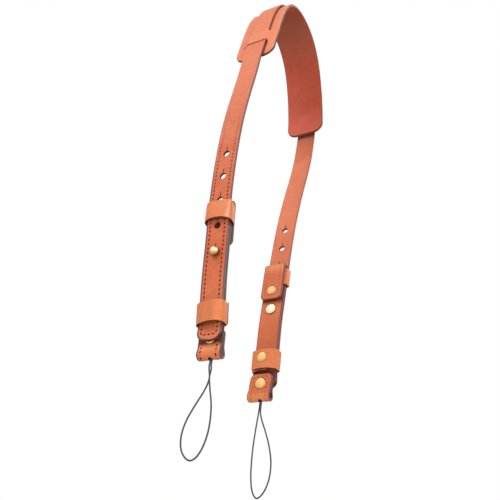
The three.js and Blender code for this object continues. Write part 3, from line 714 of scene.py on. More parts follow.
def braided_cord():
    """Fine dark braid, a little glossy."""
    recipe = Recipe("braided_cord", Specular_IOR_Level=0.4, Sheen_Weight=0.1)
    strands = recipe.noise(3200, 2, 0.5)
    worn = recipe.between(recipe.noise(260, 3, 0.6), 0.4, 0.75)
    colour = recipe.blend(strands, rgb(50, 51, 56), rgb(70, 71, 77))
    colour = recipe.blend(recipe.product(worn, 0.3), colour, rgb(92, 92, 96))
    rough = recipe.between(strands, 0.3, 0.7, 0.5, 0.7)
    return recipe.finish(colour, rough, Normal=recipe.bump(strands, 0.03))


STRAP_LEATHER = leather("strap_leather", rgb(208, 114, 77), rgb(197, 101, 65), sewn=1.0, near_pad=True)
# the connectors' pale tone is painted light at their folds and below the strap's tip
CONNECTOR_LEATHERS = {
    "left": leather(
        "left_connector_leather", rgb(218, 126, 82), rgb(206, 112, 70), sewn=1.0,
        edge_tone=rgb(98, 88, 90), painted_light_tone=FOLD_LIGHT_TONE,
    ),
    "right": leather(
        "right_connector_leather", rgb(212, 118, 78), rgb(200, 104, 66), sewn=0.6,
        edge_tone=rgb(122, 80, 72), painted_light_tone=FOLD_LIGHT_TONE,
    ),
}
# the pale edge tone is painted light along the edges over the arch; the darker edge ends are painted shade
PAD_LEATHER = leather(
    "pad_leather", rgb(226, 134, 98), rgb(218, 126, 90), wrap=0.12, pores=0.6,
    edge_tone=rgb(216, 158, 132), edge_shade_ends=rgb(120, 72, 56),
)
# the lining's pale tone is painted light low on the arms, its dark tone painted shade near the top of the
# arch, and its darker edge ends painted shade
LINING_LEATHER = leather(
    "lining_leather", rgb(190, 88, 64), rgb(180, 80, 56), wrap=0.5, pores=0.8, rough=0.62,
    edge_tone=rgb(122, 72, 56), edge_shade_ends=rgb(96, 54, 42), painted_light_tone=rgb(208, 102, 78),
    painted_shade_tone=rgb(142, 88, 66),
)
# the keepers' pale tone is a painted highlight and their dark tone painted shade
KEEPER_LEATHER = leather(
    "keeper_leather", rgb(224, 132, 84), rgb(216, 122, 74), wrap=0.15, pores=0.5, rough=0.42,
    edge_tone=rgb(104, 60, 46), painted_light_tone=rgb(248, 188, 156), painted_shade_tone=rgb(60, 27, 19),
)
# raw cut leather twice: darker in the punched holes, as painted shade inside them, and lighter in the pad's
# slots
SHADED_CUT_LEATHER = cut_leather("cut_leather", rgb(92, 40, 27), rgb(128, 64, 44))
SLOT_LEATHER = cut_leather("slot_leather", rgb(160, 76, 54), rgb(182, 94, 68))
THREAD = thread()
BRASS = brass("brushed_brass", rgb(222, 178, 122), rgb(208, 160, 104))
TAB_BRASS = brass("soft_brass", rgb(210, 160, 116), rgb(196, 144, 100))
STUD_BRASS = {
    "left": brass("polished_brass", rgb(238, 212, 158), rgb(224, 190, 132), smooth=0.22),
    "right": brass("pale_brass", rgb(222, 200, 172), rgb(210, 186, 154)),
}
CORD_BRASS = {"left": STUD_BRASS["left"], "right": BRASS}
CORD = braided_cord()

# ---- cord loops

CONNECTOR_OUT = -CONNECTOR.thick / 2
KEEPER_BACK = -CONNECTOR.thick - GAP
LOWER_KEEPER_BACK = KEEPER_BACK - KEEPER.room - KEEPER.thick
UPPER_TAB_OUT = KEEPER_BACK - KEEPER.thick - GAP - CONNECTOR.thick / 2
LOWER_TAB_OUT = -CONNECTOR.thick - GAP - CONNECTOR.thick / 2
EYE_MIDDLE = (CONNECTOR_OUT + LOWER_TAB_OUT) / 2


def smooth_route(points, per_part=16):
    """A centripetal Catmull-Rom curve through the points."""
    points = np.asarray(points, float)
    points = np.vstack([2 * points[0] - points[1], points, 2 * points[-1] - points[-2]])
    route = []
    for i in range(1, len(points) - 2):
        p0, p1, p2, p3 = points[i - 1 : i + 3]
        gaps = [max(np.linalg.norm(b - a) ** 0.5, 1e-9) for a, b in ((p0, p1), (p1, p2), (p2, p3))]
        first = (p1 - p0) / gaps[0] - (p2 - p0) / (gaps[0] + gaps[1]) + (p2 - p1) / gaps[1]
        last = (p2 - p1) / gaps[1] - (p3 - p1) / (gaps[1] + gaps[2]) + (p3 - p2) / gaps[2]
        first, last = first * gaps[1], last * gaps[1]
        shares = np.arange(per_part)[:, None] / per_part
        route.append(curve(shares, p1, p2, first, last))
    return np.concatenate([*route, points[-2:-1]])


def braided_tube(route, radius):
    """A tube along the route whose strands cross over and under each other."""
    sides, strand_run, strands, step, weave_depth = 16, 2.2, 4, 0.26, 0.035
    lengths = lengths_along(route)
    runs = np.linspace(0, lengths[-1], int(lengths[-1] / step) + 1)
    middle = sampled(route, lengths, runs).T
    ways = np.gradient(middle, axis=0)
    ways /= np.linalg.norm(ways, axis=1)[:, None]
    side = np.cross(ways, (0.0, 1.0, 0.0))
    side /= np.linalg.norm(side, axis=1)[:, None]
    other = np.cross(ways, side)
    angle = np.arange(sides) * 2 * pi / sides
    turn = 2 * pi * runs[:, None] / strand_run
    weave = np.cos(strands * angle + turn) * np.cos(strands * angle - turn)
    around = np.cos(angle)[:, None] * side[:, None] + np.sin(angle)[:, None] * other[:, None]
    reach = radius * (1 + weave_depth * (weave - 1))
    points = middle[:, None] + reach[..., None] * around
    return points.reshape(-1, 3), tube_faces(len(runs), sides)


def make_cord(arm, side):
    """One cord loop, from the eye of the lower fold down and back up into it."""
    fold = place_at(side * CONNECTOR.bottom_fold, EYE_MIDDLE, 0)[0]
    table = np.array(CORD_ROUTES[arm]) / MM
    route = smooth_route(np.stack([fold[0] + table[:, 0], fold[1] + table[:, 2], fold[2] - table[:, 1]], 1))
    points, faces = braided_tube(route, CORD_DIAMETER / 2)
    cord = make_piece(f"{arm}_cord", points, faces, [CORD], "cord", f"{arm}_cord_loop", sharp=80)
    length = float(lengths_along(route)[-1])
    print(f"{arm} cord: {length:.1f} mm")


for arm, side in ARMS.items():
    make_cord(arm, side)

# ---- main strap


def pad_end(run):
    """How far the pad reaches from the top of the arch, on the arm that a run is on."""
    return np.where(np.asarray(run) < 0, PAD.right_end, PAD.left_end)


def slot_at(run):
    """How far from the top of the arch the main strap comes out of its bridge."""
    return pad_end(run) - BRIDGE.slot_from_end


def strap_ride(along):
    """Inner face of the main strap: over the pad, under its two bridges, and up at the tips."""
    distance = np.abs(along)
    middle = slot_at(along) - BRIDGE.length / 2
    past_bridge = np.abs(distance - middle) - BRIDGE.length / 2 + BRIDGE.ramp / 2
    dipped = fall(past_bridge, 0, BRIDGE.ramp)
    lift_from = STRAP.to_tip - STRAP.tip_lift_run
    lifted = rise(distance, lift_from, lift_from + STRAP.tip_lift_run * 0.8)
    return STRAP.ride - dipped * PAD.face + lifted * STRAP.tip_lift


def strap_aside(along):
    """How far the main strap sits aside near the pad."""
    return STRAP.aside * fall(np.abs(along) - STRAP.aside_to, 0, STRAP.aside_run)


def keyhole(side, distance, half_thick):
    """The punch for a round hole with a slit towards the pad, its rims eased outwards."""
    eased = ((1, 0.6), (0, 0.28), (-0.12, 0.1), (-0.35, 0.0))
    lifts = [(-half_thick - past, ease) for past, ease in eased]
    lifts += [(-lift, ease) for lift, ease in lifts[::-1]]
    rings = []
    for lift, ease in lifts:
        radius = HOLES.diameter / 2 + ease
        slit = HOLES.slit_width / 2 + ease * 0.5
        far = distance - HOLES.diameter / 2 - HOLES.slit - ease * 0.3
        opening = asin(slit / radius)
        ring = arc(distance, 0, radius, pi - opening, opening - pi, 33)
        for angle in np.linspace(-pi / 2, -3 * pi / 2, 5):
            ring.append((far + slit * 0.8 * cos(angle), slit * sin(angle)))
        rings.append([(side * along, across, lift) for along, across in ring])
    return prism(rings)


def below_keepers(distance):
    """How near a place on an arm is to the strip just below one of its keepers."""
    near = 0
    for top in (KEEPER.upper_top, KEEPER.lower_top):
        rim = top + KEEPER.height
        strip = rise(distance, rim - 2, rim) * fall(distance, rim + 1.5, rim + 5.5)
        near = np.maximum(near, strip)
    return near


def near_edges(across):
    """How near a place on a strap is to one of its long edges."""
    return rise(np.abs(across), STRAP.width / 2 - 0.9, STRAP.width / 2 - 0.2)


def main_strap_looks(points, shape):
    """Where the main strap has painted shade and light or bare edges, and how deep its places lie in its
    outline.
    """
    run, across, lift = points.T
    from_top = np.abs(run)
    left, outer, tip = run > 0, lift > 0, STRAP.to_tip
    paint = LEFT_EDGE_BAND * rise(run, 246, 266) * (across < 0)
    paint -= np.where(across < 0, 2.0, 0.4) * fall(from_top, 118, 150)
    # painted shade: on the inner face below the pad's end, below each keeper, round the ball stud and under
    # the tip
    past_pad = from_top - pad_end(run)
    by_pad = 0.85 - 0.6 * rise(past_pad, 3, 5.5) - 0.25 * rise(past_pad, 5.5, 22)
    by_keeper = below_keepers(from_top) * (0.12 + 0.73 * near_edges(across))
    away = np.hypot(run - HOLES.lowest - 0.6, across - STUD_ASIDE["left"])
    by_stud = 0.65 * fall(away, 3, 4.8)
    by_tip = 0.9 * rise(from_top, tip - 6, tip - 3.5) * (lift < STRAP.thick / 2 - 0.1)
    # painted light: paler near the pad and near the tip on the left arm, and down the right arm from a
    # little below the pad
    left_painted_light = 0.55 * fall(from_top, 125, 245) + 0.25 * rise(from_top, 380, 386)
    right_painted_light = 0.6 * rise(from_top, 145, 165) * (1 - 0.5 * rise(from_top, 225, 270))
    bare = np.where(left, fall(from_top, 96, 150), 1 - 0.7 * rise(from_top, 250, 300))
    return {
        "inset": inset_in(points, (-tip, tip), *shape) - paint,
        "layer": lift.copy(),
        "from_top": from_top,
        "shaded": np.max([by_pad * ~outer, by_keeper, by_stud * outer, by_tip], axis=0),
        "pale": np.where(left, left_painted_light, right_painted_light),
        "bare": bare,
    }


def make_main_strap():
    """The two-layer strap with its keyholes, from one rounded tip to the other."""
    half, thick, tip = STRAP.width / 2, STRAP.thick, STRAP.to_tip
    shape = (half, STRAP.tip_corner, STRAP.tip_depth)
    wall = rounded_wall(thick, 0.6, shape[1], ply=0.1, columns=(1.4, 2.6, 3.1, 3.45, 3.8, 4.3, 5.2))
    rows = rows_between(STRAP.tip_depth - tip, tip - STRAP.tip_depth, 2.0)
    flat = flat_strap((-tip, tip), *shape, wall, inner=(0, 1.2), runs=rows)
    distances = [HOLES.lowest - i * HOLES.pitch for i in range(HOLES.count)]
    holes = [keyhole(side, distance, thick / 2) for side in ARMS.values() for distance in distances]
    points, faces, slots = cut(*flat, holes)
    paths = [side * stitch_rows((slot_at(side), tip), half, STITCH.tip_inset)[0] for side in (-1, 1)]
    run, off = nearest_of(points, paths, thick)
    looks = dict(main_strap_looks(points, shape), stitch_run=run, stitch_off=off)
    points[:, 2] -= 0.1 * np.exp(-((off / 0.5) ** 2))
    measure = np.arange(-tip - 1, tip + 1.01, 0.5)
    hang = ribbon(measure, measure, strap_ride(measure) + thick / 2, strap_aside(measure))
    shape = (hang(points), faces, [STRAP_LEATHER, SHADED_CUT_LEATHER])
    make_piece("main_strap_leather", *shape, "strap_leather", "main_strap", slots, **looks)
    stitches(paths, thick / 2 - 0.1, hang, "main_strap_stitching", seed=11)


make_main_strap()

# ---- shoulder pad


def bridge_height(run, across):
    """How far the pad's outer layer is raised over the strap."""
    past = np.abs(np.abs(run) - (slot_at(run) - BRIDGE.length / 2)) - BRIDGE.length / 2
    top = STRAP.ride + STRAP.thick + GAP
    flank = fall(np.abs(across), BRIDGE.top_width / 2, BRIDGE.foot_width / 2)
    return top * flank * fall(past, 0.2, BRIDGE.fade)


def bridge_channel(side):
    """The strap's room under a bridge, open above the pad on both sides of it."""
    ease, above = 0.35, 9
    slot = slot_at(side)
    inside = slot - BRIDGE.length
    middle_out = -PAD.face / 2
    roof = STRAP.ride - PAD.face + STRAP.thick + GAP - middle_out
    lip = roof + PAD.face
    rows = np.linspace(inside - BRIDGE.ramp, slot + BRIDGE.ramp, 24)
    outline = [(r, float(strap_ride(r)) - GAP - middle_out) for r in rows]
    sides = []
    for edge, end, in_by in ((slot, rows[-1], ease), (inside, rows[0], -ease)):
        sides.append([(end, above), (edge - in_by, above), (edge - in_by, lip)])
        sides[-1] += [(edge - in_by * 0.3, lip - ease * 0.3), (edge, lip - ease), (edge, roof)]
    outline += sides[0] + sides[1][::-1]
    reach = (-BRIDGE.slot_left, BRIDGE.slot_width / 2 + 0.5)
    return prism([[(side * run, across, lift) for run, lift in outline] for across in reach])


def pad_rows(ends, corner):
    """The pad's straight rows, with more of them beside its bridges."""
    rows = rows_between(ends[0] + corner, ends[1] - corner, 1.5).round(4).tolist()
    for side in ARMS.values():
        slot = slot_at(side)
        for edge, way in ((slot, 1), (slot - BRIDGE.length, -1)):
            rows += [side * (edge + way * step) for step in (0.2, 0.6, 1.0, 1.4, 1.9, 2.6)]
    return np.unique(rows)


def make_pad_layer(name, thick, out, materials, bridged):
    """One layer of the pad. The outer one is slit at each end and raised over the strap."""
    half, corner = PAD.width / 2, PAD.corner
    ends = (-PAD.right_end, PAD.left_end)
    columns = (1.6, 2.6, 3.4, 4.1, 4.8, 5.5, 6.2, 7.0, 7.8, 8.6)
    wall = rounded_wall(thick, 0.5, corner, columns=columns)
    inner = (0, 1.5, 3, 4.5, 6, 7.5)
    points, faces = flat_strap(ends, half, corner, corner, wall, inner, pad_rows(ends, corner))
    slots = None
    if bridged:
        top = points[:, 2] > thick / 2 - 0.05
        points[top, 2] += bridge_height(points[top, 0], points[top, 1])
        points, faces, slots = cut(points, faces, [bridge_channel(side) for side in ARMS.values()])
    run, across, _ = points.T
    from_top = np.abs(run)
    # painted shade on the lining, darker towards the top of the arch
    shaded = 0.55 * fall(from_top, 8, 50)
    if bridged:
        # a painted shadow on the outer layer beside the strap, where it comes out of each bridge
        past_slot = from_top - slot_at(run)
        beside = across - STRAP.width / 2
        shaded = rise(past_slot, -0.6, 0.4) * fall(beside, 1.0, 2.6) * (beside > -2)
        shaded *= 0.8 - 0.4 * rise(past_slot, 2, 8)
    looks = {
        "inset": inset_in(points, ends, half, corner, corner),
        "layer": NO_PLY,
        "from_top": from_top,
        "shaded": shaded,
        # painted light: the lining is paler low on the arms
        "pale": 0.6 * rise(from_top, 85, 120) * (not bridged),
    }
    measure = np.arange(ends[0] - 1, ends[1] + 1.01, 0.5)
    hang = ribbon(measure, measure, np.full(len(measure), out))
    shape = (hang(points), faces, materials)
    make_piece(name, *shape, "pad_leather", "shoulder_pad", slots, sharp=48, **looks)


make_pad_layer("pad_lining", PAD.lining, -PAD.face - PAD.lining / 2, [LINING_LEATHER], False)
make_pad_layer("pad_face", PAD.face, -PAD.face / 2, [PAD_LEATHER, SLOT_LEATHER], True)

# ---- connector straps


def connector_line():
    """The connector's middle line as (distance, out): upper tab, upper fold, run, eye, lower tab."""
    tab, tip = CONNECTOR.upper_tab_tip, CONNECTOR.lower_tab_tip
    top_radius = (CONNECTOR_OUT - UPPER_TAB_OUT) / 2
    top_centre = CONNECTOR.top_fold + top_radius + CONNECTOR.thick / 2
    top_middle = (CONNECTOR_OUT + UPPER_TAB_OUT) / 2
    eye = CONNECTOR.eye_radius + CONNECTOR.thick / 2
    eye_centre = CONNECTOR.bottom_fold - eye - CONNECTOR.thick / 2
    neck = eye_centre - CONNECTOR.eye_run
    swell = np.linspace(neck, eye_centre, 9)[:-1]
    eased = rise(swell, neck, eye_centre)
    front = CONNECTOR_OUT + (EYE_MIDDLE + eye - CONNECTOR_OUT) * eased
    behind = LOWER_TAB_OUT + (EYE_MIDDLE - eye - LOWER_TAB_OUT) * eased
    line = [(tab + 1, UPPER_TAB_OUT), (tab, UPPER_TAB_OUT)]
    line += [(d, UPPER_TAB_OUT) for d in np.arange(tab - 1, top_centre, -1)]
    line += arc(top_centre, top_middle, top_radius, -pi / 2, -3 * pi / 2, 17)
    line += [(d, CONNECTOR_OUT) for d in np.arange(top_centre + 1, neck - 0.5, 1)]
    line += zip(swell, front)
    line += arc(eye_centre, EYE_MIDDLE, eye, pi / 2, -pi / 2, 19)
    line += zip(swell[::-1], behind[::-1])
    line += [(d, LOWER_TAB_OUT) for d in np.arange(neck - 1, tip, -1)]
    line += [(tip, LOWER_TAB_OUT), (tip - 1, LOWER_TAB_OUT)]
    return np.array(line)


def connector_shade(pattern, measure, line):
    """Where little light comes: under a keyhole, round the lower keeper and below each tip."""
    run, across, lift = pattern.T
    distance = np.interp(run, measure, line[:, 0])
    tip, tab = STRAP.to_tip, CONNECTOR.upper_tab_tip
    hole_off = np.hypot(distance - HOLES.lowest + HOLES.pitch, across)
    under_hole = fall(hole_off, 2.2, 3.6)
    under_tip = rise(distance, tip - 14, tip - 8) * fall(distance, tip + 0.3, tip + 2.4)
    facing = np.maximum(under_hole, 0.85 * under_tip)
    behind_tab = fall(distance, tab - 0.2, tab + 2)
    rim = KEEPER.lower_top + KEEPER.height
    behind_keeper = rise(distance, rim - 3, CONNECTOR.lower_tab_tip - 2)
    stud_off = np.hypot(distance - HOLES.lowest, across)
    near_stud = fall(stud_off, STUD.base / 2, STUD.base / 2 + 0.6)
    behind = np.max([0.7 * behind_tab, 0.9 * behind_keeper, 0.5 * near_stud], axis=0)
    beyond = 0.85 * below_keepers(distance) * near_edges(across)
    by_caps = 0
    for rivet in (TAB_RIVET, CORD_RIVETS["right"]):
        cap_off = np.hypot(distance - rivet.along, across) - rivet.cap / 2
        by_caps = np.maximum(by_caps, fall(cap_off, 0, 0.6))
    tips = (run < 1.2) | (run > measure[-1] - 2.2)
    on_tab = np.maximum(0.6 * tips * (lift < 0.6), 0.5 * by_caps * (lift > 0))
    on_run = np.interp(run, measure, line[:, 1]) > CONNECTOR_OUT - 0.4
    return np.where(on_run, np.maximum(np.where(lift > 0, facing, behind * (lift < 0)), beyond), on_tab)


def connector_painted_light(pattern, distance, side):
    """Where light is painted onto the connector: at its folds, and on the left arm below the strap's tip.
    """
    fold = CONNECTOR.bottom_fold
    pale = 0.5 * fall(distance, CONNECTOR.top_fold + 3, CONNECTOR.top_fold + 12)
    if side < 0:
        return pale + 0.4 * rise(distance, fold - 6, fold - 1)
    below_tip = fall(np.abs(distance - STRAP.to_tip - 4), 0.5, 3)
    return pale + 0.5 * below_tip * (pattern[:, 2] > 0)


def cord_hole(run, across, thick):
    """The punch for the cord's hole in the lower fold, its rims eased outwards."""
    half, rings = thick / 2, []
    for lift, ease in ((-thick, 0.2), (0.3 - half, 0), (half - 0.3, 0), (half, 0.25), (thick, 0.6)):
        ring = arc(run, across, CONNECTOR.cord_hole / 2 + ease, 0, 2 * pi, 33)[:-1]
        rings.append([(*place, lift) for place in ring])
    return prism(rings)


def make_connector(arm, side):
    """A connector with its stitches: one strap, folded at its top and round the cord below."""
    line = connector_line()
    measure = lengths_along(line) - 1
    ends = (0, measure[-1] - 1)
    half, thick, depth = STRAP.width / 2, CONNECTOR.thick, CONNECTOR.tab_tip_depth
    shape = (half, half / 2, depth)
    wall = rounded_wall(thick, 0.7, shape[1], ply=0.1, columns=(1.3, 2.0, 2.4, 2.8, 3.1, 3.6))
    flat = flat_strap(ends, *shape, wall, (0, 1.4, 2.8), rows_between(depth, ends[1] - depth, 1.1))
    fold_run = measure[np.argmax(line[:, 0])]
    points, faces, slots = cut(*flat, [cord_hole(fold_run, -FOLD_ASIDE[arm], thick)])
    top_turn = CONNECTOR.upper_tab_tip - CONNECTOR.top_fold + STITCH.past_fold
    bottom_turn = ends[1] - (CONNECTOR.bottom_fold - CONNECTOR.lower_tab_tip) - STITCH.before_eye
    paths = stitch_rows((2, top_turn), half) + stitch_rows((bottom_turn, ends[1]), half, STITCH.tab_inset)
    stitch_run, stitch_off = nearest_of(points, paths, thick)
    run, across, lift = points.T
    looks = {
        "inset": inset_in(points, ends, *shape) - LEFT_EDGE_BAND * ((across < 0) & (side > 0)),
        "layer": lift,
        "from_top": np.where(run < top_turn, SEWN_AT["tab"], SEWN_AT[arm]),
        "shaded": connector_shade(points, measure, line),
        "pale": connector_painted_light(points, np.interp(run, measure, line[:, 0]), side),
        "stitch_run": stitch_run,
        "stitch_off": stitch_off,
    }
    aside = FOLD_ASIDE[arm] * rise(line[:, 0], CONNECTOR.aside_from, CONNECTOR.aside_to)
    hang = ribbon(measure, side * line[:, 0], line[:, 1], aside, side)
    name = f"{arm}_connector"
    shape = (hang(points), faces, [CONNECTOR_LEATHERS[arm], SHADED_CUT_LEATHER])
    make_piece(f"{name}_leather", *shape, "strap_leather", name, slots, **looks)
    stitches(paths, thick / 2 - 0.1, hang, f"{name}_stitching", seed=20 + side, from_top=SEWN_AT["thread"])


for arm, side in ARMS.items():
    make_connector(arm, side)

# ---- keepers


def back_at(rim, back, across):
    """How far out a keeper's back is, by the half width and the bulge of its rim."""
    return back - rim[4] * np.cos(np.pi / 2 * np.minimum(np.abs(across) / rim[0], 1))


def keeper_path(rim, back, overlap):
    """The middle of a keeper's leather from its inner end to its outer end, as (across, out).

    With no overlap the ends meet at the middle of its back. With an overlap of 1 or -1 the inner
    end lies under the outer one, which covers the back from that side's wall to the other.
    """
    half, front, shoulder, squareness, _, corner = rim
    middle = KEEPER.thick / 2
    half, radius = half + middle, corner + middle
    inner_back = back + (KEEPER.thick if overlap else 0)
    start, last = (KEEPER.overlap_to, 0.1 - half) if overlap else (-0.05, 0.05)
    path = [(x, back_at(rim, inner_back, x) - middle) for x in np.linspace(start, radius - half, 14)]
    path += arc(radius - half, inner_back + corner, radius, -pi / 2, -pi, 8)[1:]
    power = 2 / squareness
    for angle in np.linspace(pi, 0, 61):
        bow, high = cos(angle), max(sin(angle), 0)
        across = half * copysign(abs(bow) ** power, bow)
        path.append((across, shoulder + (front + middle - shoulder) * high**power))
    path += arc(half - radius, back + corner, radius, 0, -pi / 2, 8)
    path += [(x, back_at(rim, back, x) - middle) for x in np.linspace(half - radius, last, 22)[1:]]
    path = np.array(path) * (overlap or 1, 1)
    lengths = lengths_along(path)
    return sampled(path, lengths, np.linspace(0, lengths[-1], 260)).T


def make_keeper(arm, side, level):
    """A keeper: a short strap of leather bent round the main strap and the connector."""
    lower = level == "lower"
    overlap = -side if lower else 0
    top = KEEPER.lower_top if lower else KEEPER.upper_top
    back = LOWER_KEEPER_BACK if lower else KEEPER_BACK
    paths = [keeper_path(rim, back, overlap) for rim in KEEPER_RIMS[arm, level]]
    length = float(lengths_along((paths[0] + paths[1]) / 2)[-1])
    half, thick = KEEPER.height / 2, KEEPER.thick
    shape = (half, 1.0, 1.0)  # its corners are cut almost square
    wall = rounded_wall(thick, 0.42, shape[1], columns=(0.8,))
    inner = (0, 1.3, 2.6, 3.9, 5.2, 6.1)
    points, faces = flat_strap((0, length), *shape, wall, inner, rows_between(1, length - 1, 0.55))
    run, across, lift = points.T
    down = across / KEEPER.height + 0.5
    placed = np.zeros((2, len(points)))
    facing = np.zeros((2, len(points)))
    for path, part in ((paths[0], 1 - down), (paths[1], down)):
        share = np.linspace(0, length, len(path))
        way = np.gradient(path, axis=0).T * (-1 if overlap < 0 else 1)
        way /= np.hypot(*way)
        normal = sampled(np.stack([-way[1], way[0]], 1), share, run)
        placed += part * (sampled(path, share, run) + lift * normal)
        facing += part * normal
    slip, lean_across, lean_out, painted_shade_share, painted_highlight_share = KEEPER_LEAN[arm, level]
    if lower:
        slip = slip + KEEPER.covered_slip * fall(run, KEEPER.covered_run, KEEPER.covered_run + 15)
    along = side * (top + across + half + slip + lean_across * placed[0] + lean_out * placed[1])
    # painted shade on the inner face, on the covered part of the inner end and across the front as the
    # table says; a painted highlight along the front's bend at +X
    inside = rise(-lift, thick / 2 - 0.3, thick / 2 - 0.05)
    covered = 0.75 * fall(run, KEEPER.covered_run, KEEPER.covered_run + 3) * lower
    painted_shade_band = fall(placed[0], 0, half) + 1.2 * np.exp(-(((placed[0] - 3.3) / 3) ** 2))
    bend = np.exp(-(((facing[0] - 0.5) / 0.16) ** 2)) * (facing[1] > 0)
    looks = {
        "inset": inset_in(points, (0, length), *shape),
        "layer": NO_PLY,
        "from_top": LOW_DOWN,
        "shaded": np.max([inside, covered, painted_shade_band * painted_shade_share], axis=0),
        "pale": painted_highlight_share * bend * (lift > 0),
    }
    name = f"{arm}_{level}_keeper"
    shape = (place_at(along, placed[1], placed[0]), faces, [KEEPER_LEATHER])
    make_piece(f"{name}_leather", *shape, "keeper_leather", name, **looks)


for arm, side in ARMS.items():
    for level in ("upper", "lower"):
        make_keeper(arm, side, level)

# ---- brass

TURNED_SIDES = 48


def make_turned(name, profile, place, material):
    """A turned piece of brass from (radius, height) points that start and end on its axis."""
    points, rings = [], []
    for radius, height in profile:
        count = 1 if radius < 1e-6 else TURNED_SIDES
        rings.append(range(len(points), len(points) + count))
        for j in range(count):
            angle = 2 * pi * j / TURNED_SIDES
            points.append((radius * cos(angle), height, radius * sin(angle)))
    faces = []
    for low, high in zip(rings, rings[1:]):
        for j in range(TURNED_SIDES):
            n = (j + 1) % TURNED_SIDES
            ring = [low[j % len(low)], low[n % len(low)], high[n % len(high)], high[j % len(high)]]
            faces.append([v for k, v in enumerate(ring) if v != ring[k - 1]])
    points = place(np.array(points))
    make_piece(f"{name}_brass", points, faces, [material], "brass", name, sharp=50)


def on_strap(side, along, middle_out=0.0, across=0.0, tilt=0.0):
    """Places a turned piece square to the strap: its height goes outwards."""

    def place(points):
        x, height, z = points.T
        across_turned = x * cos(tilt) - height * sin(tilt)
        out = x * sin(tilt) + height * cos(tilt)
        places = np.array([along, middle_out, across]) + [(0, 0, 0), (0, 1, 0), (0.5, 0, 0), (0, 0, 1)]
        origin, outer, lower, right = place_at(*(places * (side, 1, 1)).T)
        ways = [v / np.linalg.norm(v) for v in (right - origin, outer - origin, lower - origin)]
        return origin + across_turned[:, None] * ways[0] + out[:, None] * ways[1] + z[:, None] * ways[2]

    return place


def cap_profile(radius, base, height, way):
    """A pressed cap's dome with a rolled rim, from the axis outwards. `way` is -1 for the inside."""
    rows = [(0, 1), (0.3, 0.985), (0.55, 0.93), (0.74, 0.83), (0.86, 0.7), (0.93, 0.55)]
    rows += [(0.98, 0.36), (1, 0.2), (0.995, 0.08), (0.97, 0)]
    return [(radius * r, base + way * height * h) for r, h in rows]


def make_rivet(name, back, sizes, place, material=BRASS):
    """A rivet from its inner cap to its outer cap."""
    profile = cap_profile(sizes.cap / 2, back, sizes.height, -1)
    profile += [(RIVET_SHANK / 2, back), (RIVET_SHANK / 2, sizes.front)]
    profile += cap_profile(sizes.front_cap / 2, sizes.front, sizes.front_height, 1)[::-1]
    make_turned(name, profile, place, material)


def make_stud(arm, side):
    """A ball stud: a flat base behind the connector, a post, and a ball with a dimple in front."""
    crown = pi / 2 - 0.14  # where the dimple starts
    back = -CONNECTOR.thick - GAP
    seat = STRAP.ride + STRAP.thick + STUD.stand
    radius = STUD.ball / 2
    centre = seat + sqrt(radius**2 - (STUD.neck / 2) ** 2)
    base, low = STUD.base / 2, back - STUD.base_thick
    profile = [(0, low), (base - 0.5, low), (base - 0.2, low + 0.08), (base - 0.04, low + 0.25)]
    profile += [(base, low + 0.5), (base, back - 0.15), (base - 0.12, back)]
    profile += [(STUD.post / 2, back), (STUD.post / 2, STRAP.ride), (STUD.neck / 2, STRAP.ride)]
    profile += arc(0, centre, radius, -acos(STUD.neck / STUD.ball), crown, 22)
    top = profile[-1][1]
    profile += [(0.3, top - 0.06), (0.2, top - 0.16), (0, top - 0.2)]
    place = on_strap(side, HOLES.lowest, 0, STUD_ASIDE[arm])
    make_turned(f"{arm}_stud", profile, place, STUD_BRASS[arm])


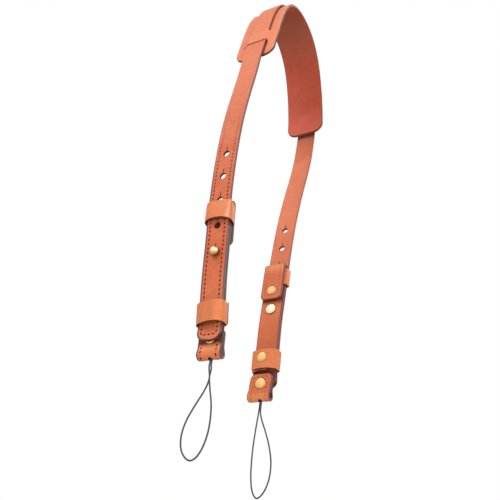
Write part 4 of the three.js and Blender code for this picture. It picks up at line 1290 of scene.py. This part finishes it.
def make_rivets(arm, side):
    """The rivets of the upper tab, the lower keeper and the lower fold."""
    back = UPPER_TAB_OUT - CONNECTOR.thick / 2 - CAP_GAP
    make_rivet(f"{arm}_tab_rivet", back, TAB_RIVET, on_strap(side, TAB_RIVET.along), TAB_BRASS)

    upper, lower = np.array(KEEPER_RIMS[arm, "lower"])
    rim = upper + (lower - upper) * KEEPER_RIVET.below / KEEPER.height
    across = side * KEEPER_RIVET.across
    behind, middle, ahead = back_at(rim, LOWER_KEEPER_BACK, across + np.array([-0.5, 0, 0.5]))
    along = KEEPER.lower_top + KEEPER_LEAN[arm, "lower"][0] + KEEPER_RIVET.below
    place = on_strap(side, along, middle, across, atan(ahead - behind))
    make_rivet(f"{arm}_keeper_rivet", -KEEPER.thick - CAP_GAP, KEEPER_RIVET, place)

    back = LOWER_TAB_OUT - CONNECTOR.thick / 2 - CAP_GAP
    place = on_strap(side, CORD_RIVETS[arm].along, across=0.7 * FOLD_ASIDE[arm])
    make_rivet(f"{arm}_cord_rivet", back, CORD_RIVETS[arm], place, CORD_BRASS[arm])


for arm, side in ARMS.items():
    make_stud(arm, side)
    make_rivets(arm, side)

# ---- floor, backdrop and light

LIT_PLACE = (0, 0, -0.18)


def make_floor():
    """A pale paper floor, well below the cords."""
    mesh = bpy.data.meshes.new("floor")
    reach, height = 4, -0.62
    corners = [(x * reach, y * reach, height) for x, y in ((-1, -1), (1, -1), (1, 1), (-1, 1))]
    mesh.from_pydata(corners, [], [(0, 1, 2, 3)])
    recipe = Recipe("floor_paper")
    fine = recipe.noise(3, 2, 0.5)
    recipe.finish(recipe.blend(fine, (0.86, 0.86, 0.86, 1), (0.9, 0.9, 0.9, 1)), 0.8)
    mesh.materials.append(recipe.material)
    in_scene("floor", mesh)


def make_world():
    """A white backdrop that lights the object softly."""
    world = bpy.data.worlds.new("backdrop")
    bpy.context.scene.world = world
    world.use_nodes = True
    tree = world.node_tree
    seen = add_node(tree, "Background", 0, {"Color": (1, 1, 1, 1), "Strength": 1.0})
    soft = add_node(tree, "Background", 0, {"Color": (1.0, 0.985, 0.97, 1), "Strength": 0.38})
    rays = [add_node(tree, "LightPath", f"Is {kind} Ray") for kind in ("Camera", "Glossy")]
    white = add_node(tree, "Math", 0, enumerate(rays), operation="MAXIMUM")
    mix = add_node(tree, "MixShader", 0, {"Fac": white, 1: soft, 2: seen})
    feed(tree, tree.nodes["World Output"].inputs["Surface"], mix)


def add_light(name, place, size, power):
    """A round area light that faces the middle of the strap."""
    data = bpy.data.lights.new(name, "AREA")
    data.shape = "DISK"
    data.size = size
    data.energy = power
    light = in_scene(name, data)
    light.location = place
    light.rotation_euler = (Vector(LIT_PLACE) - Vector(place)).to_track_quat("-Z", "Y").to_euler()


make_floor()
make_world()
add_light("key", (-0.8, -2.3, 1.9), 1.5, 42)
add_light("fill", (1.6, -0.7, -0.2), 0.9, 13)
add_light("low", (0.1, -1.2, -0.5), 0.8, 4)
add_light("rim", (0.4, 1.2, 0.8), 0.8, 4)
bpy.context.scene.view_settings.view_transform = "Standard"
